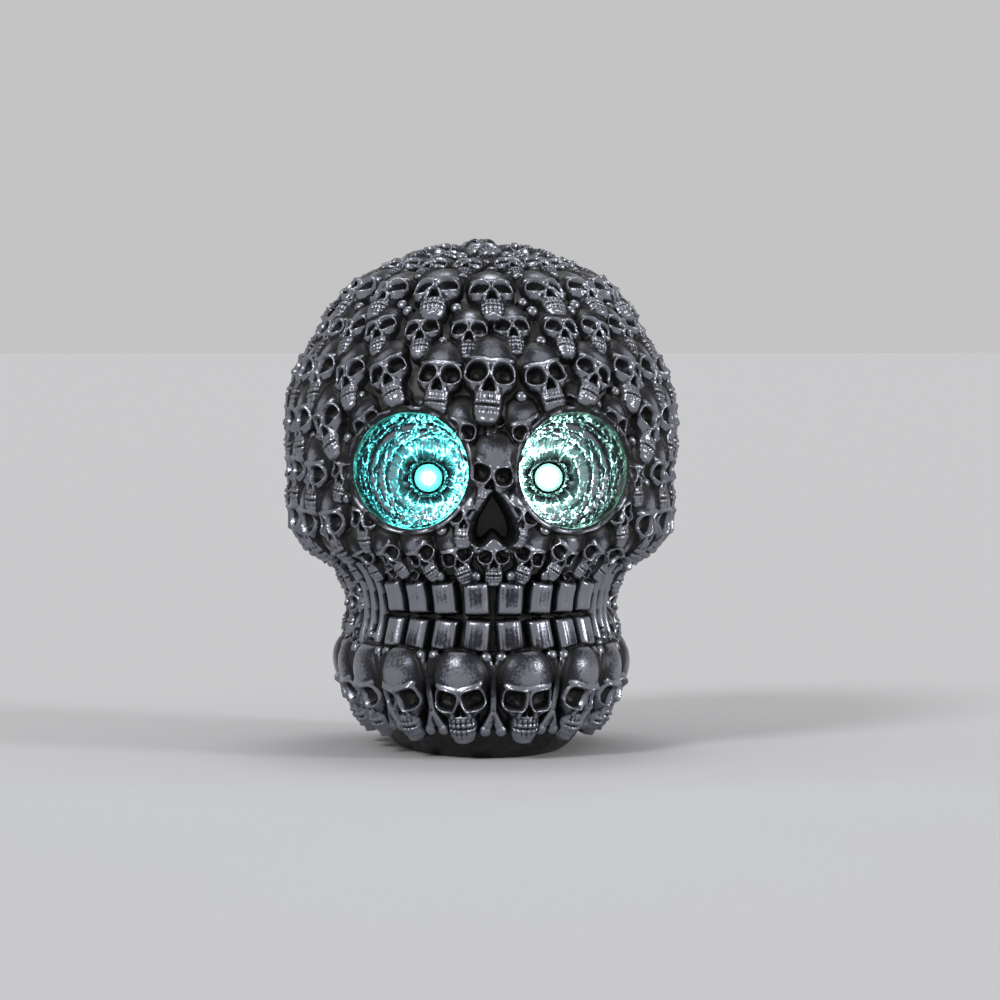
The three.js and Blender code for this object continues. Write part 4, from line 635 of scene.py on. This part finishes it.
# %% [markdown]
# ## Meshes from nets
# Every shape is a net of points in rows and columns. One function turns nets into a mesh with
# shading directions and paint values, and another shows it on the head.

# %% Mesh from patches
PLACE_STEP = 400003  # more thousandths of a millimetre than the object is wide


def make_mesh(name, patches):
    """A mesh of one or more nets. A patch is points, normals, rub, hollow and a mask of the quads
    to keep, all in rows and columns. Points that fall together within a thousandth of a millimetre
    become one, which closes seams and poles, and a quad that loses a corner becomes a triangle."""
    corners, fields, base = [], [], 0
    for xyz, out, rubbed, hollowed, keep in patches:
        shape = xyz.shape[:2]
        index = base + np.arange(shape[0] * shape[1]).reshape(shape)
        quads = np.stack([index[:-1, :-1], index[:-1, 1:], index[1:, 1:], index[1:, :-1]], -1)
        corners.append(quads[keep] if keep is not None else quads.reshape(-1, 4))
        out = np.broadcast_to(out, xyz.shape)
        paints = [np.broadcast_to(value, shape)[..., None] for value in (rubbed, hollowed)]
        fields.append(np.concatenate([xyz, out, *paints], -1).reshape(-1, 8))
        base += index.size
    fields = np.concatenate(fields)
    place = np.round(fields[:, :3] * 1000).astype(np.int64) @ (PLACE_STEP ** 2, PLACE_STEP, 1)
    _, first, same = np.unique(place, return_index=True, return_inverse=True)
    used, corners = np.unique(same[np.concatenate(corners)], return_inverse=True)
    corners = corners.reshape(-1, 4)
    single = corners != np.roll(corners, -1, axis=1)
    whole = single.sum(1) > 2
    sizes, loops = single.sum(1)[whole], corners[whole][single[whole]]
    fields = fields[first[used]]
    mesh = bpy.data.meshes.new(name)
    mesh.vertices.add(len(used))
    mesh.vertices.foreach_set("co", (fields[:, :3] * MM).astype(np.float32).ravel())
    mesh.loops.add(len(loops))
    mesh.loops.foreach_set("vertex_index", loops.astype(np.int32))
    mesh.polygons.add(len(sizes))
    mesh.polygons.foreach_set("loop_start", np.r_[0, np.cumsum(sizes)[:-1]].astype(np.int32))
    mesh.update(calc_edges=True)
    mesh.polygons.foreach_set("use_smooth", np.ones(len(sizes), dtype=bool))
    for label, values in (("rub", fields[:, 6]), ("hollow", fields[:, 7])):
        layer = mesh.attributes.new(label, "FLOAT", "POINT")
        layer.data.foreach_set("value", values.astype(np.float32))
    mesh.normals_split_custom_set_from_vertices(fields[:, 3:6])
    piece = bpy.data.objects.new(name, mesh)
    bpy.context.scene.collection.objects.link(piece)
    return piece


def show(name, patches, material, node):
    """Makes a piece with its finish, fixes it to the skull and hides the solid that it stands for."""
    piece = make_mesh(name, patches)
    piece.data.materials.append(material)
    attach(piece, "skull")
    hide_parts(node)
    print(name, len(piece.data.loops) - 2 * len(piece.data.polygons), "triangles")


print("ready to cut", ROWS * COLUMNS, "points")

# %% [markdown]
# ## Colours and nodes
# Colours are written as on a paint chart, as sRGB hex values. Blender mixes light in linear
# values, so one function turns the one into the other. The others add shader nodes, and keep each
# material short.


# %% Colour and node helpers
def paint(code):
    """Linear colour of an sRGB hex code."""
    value = np.array([int(code[i:i + 2], 16) / 255 for i in (1, 3, 5)])
    linear = np.where(value <= 0.04045, value / 12.92, ((value + 0.055) / 1.055) ** 2.4)
    return (*linear.tolist(), 1.0)


def fill(node, inputs):
    """Sets a node's inputs by name: a value is written on the input, a socket is linked to it."""
    for name, value in inputs.items():
        if isinstance(value, bpy.types.NodeSocket):
            node.id_data.links.new(value, node.inputs[name])
        else:
            node.inputs[name].default_value = value


def add(tree, kind, inputs, output=0, **settings):
    """Adds a node with its inputs and its own settings, and gives one of its outputs."""
    node = tree.nodes.new(kind)
    for field, value in settings.items():
        setattr(node, field, value)
    fill(node, inputs)
    return node.outputs[output]


def noise(tree, scale, **more):
    """Noise with so many lumps a metre, fixed to the piece."""
    place = add(tree, "ShaderNodeTexCoord", {}, "Object")
    return add(tree, "ShaderNodeTexNoise", {"Vector": place, "Scale": scale, **more}, "Fac")


def times_plus(tree, value, factor, more, clamp=False):
    """A value times a factor, plus another value."""
    inputs = {0: value, 1: factor, 2: more}
    return add(tree, "ShaderNodeMath", inputs, operation="MULTIPLY_ADD", use_clamp=clamp)


def ramp(tree, value, *stops):
    """Colours that follow a value, from stops of (place, hex code)."""
    output = add(tree, "ShaderNodeValToRGB", {"Fac": value}, "Color")
    elements = output.node.color_ramp.elements
    for element, (place, code) in zip((elements[0], elements[1]), (stops[0], stops[-1])):
        element.position, element.color = place, paint(code)
    for place, code in stops[1:-1]:
        elements.new(place).color = paint(code)
    return output


def new_material(name):
    """A material with its nodes and its one shader."""
    material = bpy.data.materials.new(name)
    material.use_nodes = True
    return material, material.node_tree, material.node_tree.nodes["Principled BSDF"]


print("linear value of mid grey:", round(paint("#808080")[0], 3))

# %% [markdown]
# ## Dry-brushed pewter on black
# The brush leaves bright metal on ridges, thin streaky metal on the flanks and none in the hollows.
# So the shader goes from matt black resin to metal with the rub value, broken up by streaks about
# a millimetre wide. Fine bumps give the slightly gritty glitter of such paint.

# %% Pewter paint
pewter, tree, shader = new_material("pewter_paint_dry_brushed_on_black_resin")
rub_value, hollow_value = (add(tree, "ShaderNodeAttribute", {}, "Fac", attribute_name=name)
                           for name in ("rub", "hollow"))
streaks = noise(tree, 900.0, Detail=4.0, Roughness=0.6)
broken = times_plus(tree, streaks, 0.38, rub_value)
uneven = times_plus(tree, noise(tree, 90.0, Detail=3.0), 0.14, broken)
covered = add(tree, "ShaderNodeMapRange", {"Value": uneven, "From Min": 0.38, "From Max": 0.98})
# partly painted shade: the hollow value takes the pewter out of hollows and creases, where the black
# resin also shows
covered_less_hollow_shade = times_plus(tree, hollow_value, -0.9, covered, clamp=True)
tone = ramp(tree, covered_less_hollow_shade, (0.0, "#060608"), (0.4, "#17181b"), (0.76, "#42434a"), (1.0, "#8a8c95"))
metal = add(tree, "ShaderNodeMapRange", {"Value": covered_less_hollow_shade, "From Min": 0.1, "From Max": 0.6,
                                         "To Max": 0.95})
gloss = add(tree, "ShaderNodeMapRange", {"Value": covered_less_hollow_shade, "To Min": 0.5, "To Max": 0.29})
grit = add(tree, "ShaderNodeBump", {"Height": streaks, "Strength": 0.35, "Distance": 0.0003})
fill(shader, {"Base Color": tone, "Metallic": metal, "Roughness": gloss, "Normal": grit, "IOR": 1.5})
print("made", pewter.name)

# %% [markdown]
# ## Plain finishes
# Plate, tray, lid, switch, screws, cells and leads are of a few common materials. One function
# makes them all, from two close colours, a grain of a real size and a gloss. They are kept by the
# name of the slot that they fill.

# %% Plain finishes
# slot: name, two colours, size of the grain in millimetres, roughness, bump and metal
FINISHES = {
    "black_plastic": ("black_abs_spark_textured", "#131315", "#1d1d20", 0.8, 0.55, 0.3),
    "white_plastic": ("white_acetal_moulded", "#dcdcd6", "#e6e6e2", 1.5, 0.4, 0.05),
    "plated_steel": ("nickel_plated_steel", "#b4b2ac", "#c6c4be", 0.5, 0.28, 0.1, 1.0),
    "cell_jacket": ("shrink_film_on_cell", "#2a5d46", "#2f664d", 3.0, 0.3, 0.05),
    "board_laminate": ("glass_epoxy_laminate", "#1c5a35", "#23663e", 0.9, 0.45, 0.15),
    "resistor_coat": ("baked_enamel_resistor", "#c7a878", "#d2b487", 0.6, 0.4, 0.1),
    "red_insulation": ("red_pvc_insulation", "#a81f1c", "#b62724", 1.0, 0.45, 0.1),
    "black_insulation": ("black_pvc_insulation", "#161617", "#1f1f21", 1.0, 0.45, 0.1),
    "grey_insulation": ("grey_pvc_insulation", "#6c6c6e", "#77777a", 1.0, 0.45, 0.1)}


def grained(name, colour, fleck, size_mm, rough, bump, metallic=0.0):
    """A plain material whose colour and height vary with a noise of a size in millimetres."""
    material, tree, shader = new_material(name)
    grain = noise(tree, 1000.0 / size_mm, Detail=3.0)
    tone = ramp(tree, grain, (0.35, colour), (0.65, fleck))
    raised = add(tree, "ShaderNodeBump", {"Height": grain, "Strength": bump, "Distance": 0.0002})
    fill(shader, {"Base Color": tone, "Normal": raised, "Roughness": rough, "Metallic": metallic})
    return material


finishes = {slot: grained(*look) for slot, look in FINISHES.items()}
print(len(finishes), "plain finishes")

# %% [markdown]
# ## Cutting the net into pieces
# The two halves are separate mouldings, and a very large mesh is slow to handle, so the net is cut
# into bands. Neighbours share their border points and take their shading from the whole net, so
# no line shows between them. Each moulding's edge is turned in, to give it its wall.

# %% Cut the face half and the back half
WALL, FOOT_INSET, FOOT_UP, JOINT_GAP = 3.0, 4.5, 5.5, 0.15
LIP_INSET, LIP_LENGTH = 1.3, 4.0
INSIDE, SOLE = (0.1, 0.9), (0.2, 0.7)  # rub and hollow of turned-in edges, and of the sole: dark, partly black resin and partly painted shade
carved[-1, :, 1] = 0.0
carved[-1, :, 2] = carved[-1, :, 2].mean()
finished_normal[-1] = (0, 0, 1)


def cut(name, columns, low, high, ahead, node):
    """One band of the net with its turned-in edges. Ahead is -1 for the face and 1 for the back,
    which also has a lip that reaches in behind the edge of the face half and closes the joint."""
    at = np.ix_(np.arange(low, high + 1), columns)
    points, out = carved[at].copy(), finished_normal[at]
    points[:, [0, -1], 1] = ahead * JOINT_GAP
    keep = np.maximum(rim_share[at][:-1, :-1], rim_share[at][1:, 1:]) > LIP_SHARE
    patches = [(points, out, rub[at], hollow[at], keep)]
    for edge, order in ((0, [1, 0]), (-1, [0, 1])):
        rim = points[:, edge]
        strip = np.stack([rim, rim - WALL * out[:, edge] * (1, 0, 1)], 1)[:, order]
        patches.append((strip, (0, -ahead, 0), *INSIDE, None))
        if ahead > 0:
            inside = rim - LIP_INSET * out[:, edge] * (1, 0, 1)
            lip = np.stack([inside + (0, WALL, 0), inside - (0, LIP_LENGTH, 0)], 1)[:, order[::-1]]
            patches.append((lip, out[:, edge][:, None], *INSIDE, None))
    if low == 0:
        level = np.linalg.norm(out[0, :, :2], axis=1, keepdims=True)
        inner = points[0] - FOOT_INSET * out[0] / level * (1, 1, 0)
        sole = np.stack([inner + (0, 0, FOOT_UP), inner, points[0]])
        patches.append((sole[1:], (0, 0, -1), *SOLE, None))
        patches.append((sole[:2], -out[0] * (1, 1, 0), *INSIDE, None))
    show(name, patches, pewter, node)


for node, columns, ahead, bands in (
        ("front_shell", np.r_[LEFT_JOINT:RIGHT_JOINT + 1], -1, ("jaw", "mouth", "eyes", "crown")),
        ("rear_shell", np.r_[RIGHT_JOINT:COLUMNS, 0:LEFT_JOINT + 1], 1,
         ("jaw", "waist", "middle", "crown"))):
    borders = [k * (ROWS - 1) // len(bands) for k in range(len(bands) + 1)]
    for band, low, high in zip(bands, borders, borders[1:]):
        cut(node + "_" + band, columns, low, high, ahead, node)

# %% [markdown]
# ## Eye cups
# A cup carries the bowl on from inside the face half down to its floor, where the lamp's sleeve
# sits. It is made by the same formula, so that the wrinkles run on without a step.

# %% Cups
CUP_TURNS, CUP_ROWS, FLOOR_ROWS, SLEEVE_RADIUS = 300, 130, 14, 5.9
CUP_FROM, BEHIND, BEHIND_TO = 0.30, 0.25, 0.42  # its start, and how far it keeps behind the face half
FLOOR_RUN, FLOOR_FOLD = 0.3, 0.8
for side, name in ((-1, "left_eye_cup"), (1, "right_eye_cup")):
    turn = side * np.linspace(-np.pi, np.pi, CUP_TURNS + 1)[None, :]
    turn, depth = np.broadcast_arrays(turn, np.linspace(CUP_FROM, 1.0, CUP_ROWS)[:, None])
    wall, height = bowl(side, turn, depth)
    outwards = np.stack([side * np.cos(turn), 0 * turn, np.sin(turn)], -1)
    wall = wall + outwards * (BEHIND * step(BEHIND_TO - depth, 0, 0.05))[..., None]
    middle = np.array([side * LAMP_X, EYE_FLOOR_Y, LAMP_Z])
    inwards = np.linspace(0, 1, FLOOR_ROWS)[1:, None]
    radius = np.linalg.norm(wall[-1] - middle, axis=-1)[None]
    shrink = 1 - inwards * (1 - SLEEVE_RADIUS / radius)
    floor_height = wrinkles(turn[:1], 1 + FLOOR_RUN * inwards) * (1 - inwards ** 2)
    floor = middle + (wall[-1] - middle)[None] * shrink[..., None]
    floor[..., 1] -= FLOOR_FOLD * floor_height * step(inwards, 0, 0.3)
    cup = np.concatenate([wall, floor])
    height = np.concatenate([height, floor_height])
    out = unit(np.cross(np.gradient(cup, axis=1), np.gradient(cup, axis=0)))
    out[:, [0, -1]] = (out[:, 1] + out[:, -2])[:, None] / 2
    patch = cup, out, *bowl_paint(height), None
    show(name + "_wall", [patch], pewter, name)

# %% [markdown]
# ## Lamps
# The lamps are the common kind with a clear domed lens of 5 mm, so a profile is turned about its
# axis. They light the wrinkled walls around them, the left one in cyan and the right one in a
# paler, greener white.

# %% Lamps
LAMP_TIP_Y, LENS_BACK_Y, IN_SLEEVE_Y, FLANGE_Y, LAMP_BACK_Y = -62.1, -58.0, -55.3, -49.5, -48.5
LAMP_RADIUS, FLANGE_RADIUS, LEG_RADIUS, LEG_PITCH, LEG_END_Y = 2.5, 2.95, 0.3, 2.54, -42.5
LAMP_SIDES, LEG_SIDES, GLOW = 48, 10, 380.0


def turned(x, z, profile, count):
    """A profile of (y, radius), from front to back, turned about a line along y through x and z,
    with its outward directions: across the profile's own direction."""
    turn = np.linspace(0, 2 * np.pi, count + 1)[None, :]
    y, radius = np.asarray(profile, float)[::-1].T[..., None]
    points = np.stack([x + radius * np.cos(turn), y + 0 * turn, z + radius * np.sin(turn)], -1)
    along, outwards = np.gradient(y, axis=0), np.gradient(radius, axis=0)
    length = np.maximum(np.hypot(along, outwards), 1e-9)
    out = np.stack([-along * np.cos(turn), outwards + 0 * turn, -along * np.sin(turn)], -1)
    return points, out / length[..., None], 0.5, 0.0, None


def epoxy(name, colour, strength):
    """Clear cast epoxy, slightly hazy, which glows in its colour with a strength."""
    material, tree, shader = new_material(name)
    uneven = add(tree, "ShaderNodeBump", {"Height": noise(tree, 1500.0), "Strength": 0.05})
    fill(shader, {"Base Color": paint(colour), "Roughness": 0.12, "IOR": 1.54, "Normal": uneven,
                  "Emission Color": paint(colour), "Emission Strength": strength})
    return material


dome = np.linspace(0, np.pi / 2, 16)
lens = [(LAMP_TIP_Y + LAMP_RADIUS * (1 - np.cos(t)), LAMP_RADIUS * np.sin(t)) for t in dome]
lens += [(LENS_BACK_Y, LAMP_RADIUS), (IN_SLEEVE_Y, LAMP_RADIUS), (IN_SLEEVE_Y, 0)]
base = [(IN_SLEEVE_Y, 0), (IN_SLEEVE_Y, LAMP_RADIUS), (FLANGE_Y, LAMP_RADIUS), (FLANGE_Y, FLANGE_RADIUS),
        (LAMP_BACK_Y, FLANGE_RADIUS), (LAMP_BACK_Y, 0)]
leg = [(LAMP_BACK_Y, 0), (LAMP_BACK_Y, LEG_RADIUS), (LEG_END_Y, LEG_RADIUS), (LEG_END_Y, 0)]
for side, name, glow in ((-1, "left_eye_lamp", "#62f5ec"), (1, "right_eye_lamp", "#b4ffe6")):
    x = side * LAMP_X
    legs = [turned(x + offset, LAMP_Z, leg, LEG_SIDES) for offset in (-LEG_PITCH / 2, LEG_PITCH / 2)]
    lit, plain = epoxy("cast_epoxy_lit_" + name, glow, GLOW), epoxy("cast_epoxy_" + name, "#c9d6d4", 0.0)
    for part, patches, finish in (("_lens", [turned(x, LAMP_Z, lens, LAMP_SIDES)], lit),
                                  ("_base", [turned(x, LAMP_Z, base, LAMP_SIDES)], plain),
                                  ("_legs", legs, finishes["plated_steel"])):
        show(name + part, patches, finish, name)

# %% [markdown]
# ## Cells
# The three cells show when the lid is open. A cell is a steel can in a printed film that is shrunk
# over its edges, with a button at one end, so it is turned like the lamps. Its place is read off
# its solid, and the middle cell lies the other way round.

# %% Cells
CELL_RADIUS, CELL_LENGTH, SHOULDER, BARE_RADIUS, CELL_SIDES = 5.25, 44.5, 0.6, 4.2, 40
BUTTON_RADIUS, BUTTON_TALL, BUTTON_EDGE, FILM, UNDER_FILM = 1.9, 0.8, 0.3, 0.05, 0.1
bend = np.linspace(0, np.pi / 2, 8)
edge = np.stack([SHOULDER * (1 - np.cos(bend)), CELL_RADIUS - SHOULDER * (1 - np.sin(bend))], -1)
far_edge = (edge * (-1, 1) + (CELL_LENGTH, 0))[::-1]
jacket = np.vstack([(BUTTON_TALL, BARE_RADIUS), edge + (BUTTON_TALL, 0), far_edge,
                    (CELL_LENGTH, BARE_RADIUS)])
rim, button_foot, can_end = BARE_RADIUS + UNDER_FILM, BUTTON_TALL + FILM, CELL_LENGTH - FILM
button = np.array([(0, 0), (0, BUTTON_RADIUS - BUTTON_EDGE), (BUTTON_EDGE, BUTTON_RADIUS),
                   (button_foot, BUTTON_RADIUS), (button_foot, rim)])
bottom = np.array([(can_end, rim), (can_end, 0)])


def cell_patch(x, z, tip, facing, profile):
    """A profile of (distance from the tip of the button, radius), turned along the cell."""
    line = profile * (facing, 1) + (tip, 0)
    return turned(x, z, line[::facing], CELL_SIDES)


for name, facing in (("battery_1", 1), ("battery_2", -1), ("battery_3", 1)):
    corners = np.array([corner[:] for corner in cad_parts[name].bound_box]) / MM
    low, high = corners.min(0), corners.max(0)
    x, z, tip = (low[0] + high[0]) / 2, (low[2] + high[2]) / 2, low[1] if facing > 0 else high[1]
    for part, profiles, finish in (("_film", [jacket], "cell_jacket"),
                                   ("_ends", [button, bottom], "plated_steel")):
        patches = [cell_patch(x, z, tip, facing, profile) for profile in profiles]
        show(name + part, patches, finishes[finish], name)

# %% [markdown]
# ## Plain pieces of the base
# The base plate and what is on it are already the right shape in the solid model, so they stay
# and only get their finish, by the name of their slot.

# %% Dress the plain solids
dressed = 0
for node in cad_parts.values():
    for entry in node.material_slots:
        found = finishes.get(entry.material.name.split(".")[0])
        if found:
            entry.material, dressed = found, dressed + 1
print("dressed", dressed, "solids")

# %% [markdown]
# ## Studio
# The floor is a pale sheet without a wall behind it, so that the object can be looked at from
# every side. Soft lamps far to the left, the right and above light object and floor evenly, at a
# level at which a colour looks as it is written.

# %% Floor and light
FLOOR_HALF, FLOOR_DROP, AIR = 9000.0, 0.2, 0.55
# name, place, how many degrees wide it looks, and strength
LAMPS = (("key_lamp", (-0.9, -1.1, 1.0), 15.0, 1.5), ("side_lamp", (1.2, -0.6, 0.5), 15.0, 1.3),
         ("top_lamp", (0.1, 0.5, 1.4), 24.0, 0.8))


def aimed(name, data, place, way):
    """A lamp or a camera at a place, which looks along a way."""
    made = bpy.data.objects.new(name, data)
    made.location = place
    made.rotation_euler = Vector(way).to_track_quat("-Z", "Y").to_euler()
    bpy.context.scene.collection.objects.link(made)
    return made


ends = np.array([-FLOOR_HALF, FLOOR_HALF])
sheet = np.stack(np.broadcast_arrays(ends[None, :], ends[:, None], -FLOOR_DROP), -1)
studio_floor = make_mesh("studio_floor", [(sheet, (0, 0, 1), 0.0, 0.0, None)])
card, tree, shader = new_material("pale_paper_sheet")
tone = ramp(tree, noise(tree, 400.0), (0.0, "#b4b4b6"), (1.0, "#b8b8ba"))
fill(shader, {"Base Color": tone, "Roughness": 0.9})
studio_floor.data.materials.append(card)
for name, place, wide, strength in LAMPS:
    data = bpy.data.lights.new(name, "SUN")
    data.angle, data.energy = np.radians(wide), strength
    aimed(name, data, place, -np.array(place))
world = bpy.data.worlds.new("studio_air")
bpy.context.scene.world = world
world.use_nodes = True
fill(world.node_tree.nodes["Background"], {"Color": (1, 1, 1, 1), "Strength": AIR})
bpy.context.scene.view_settings.view_transform = "Standard"
print(len(LAMPS), "soft lamps and a pale floor")

# %% [markdown]
# ## Camera
# The photograph was taken from far off, from a little to the left of the face and a little above
# its middle. The lens is chosen so that the frame is 408 mm wide at the object, which is the scale
# measured from the photograph.

# %% Camera
FRAME_WIDTH, DISTANCE, AZIMUTH, ELEVATION, SENSOR = 0.408, 2.3, -3.5, 2.5, 36.0
LOOK_AT_Z, LOOK_RIGHT = 0.0987, 0.008  # the middle of the picture
turn, tilt = np.radians((AZIMUTH, ELEVATION))
back_way = np.array([np.sin(turn) * np.cos(tilt), -np.cos(turn) * np.cos(tilt), np.sin(tilt)])
right_way = np.array([np.cos(turn), np.sin(turn), 0.0])
middle = np.array([0.0, 0.0, LOOK_AT_Z]) + LOOK_RIGHT * right_way
camera_data = bpy.data.cameras.new("camera")
camera_data.sensor_width = SENSOR
camera_data.lens = SENSOR * DISTANCE / FRAME_WIDTH
bpy.context.scene.camera = aimed("camera", camera_data, middle + DISTANCE * back_way, -back_way)
print("lens", round(camera_data.lens, 1), "mm at", DISTANCE, "m")
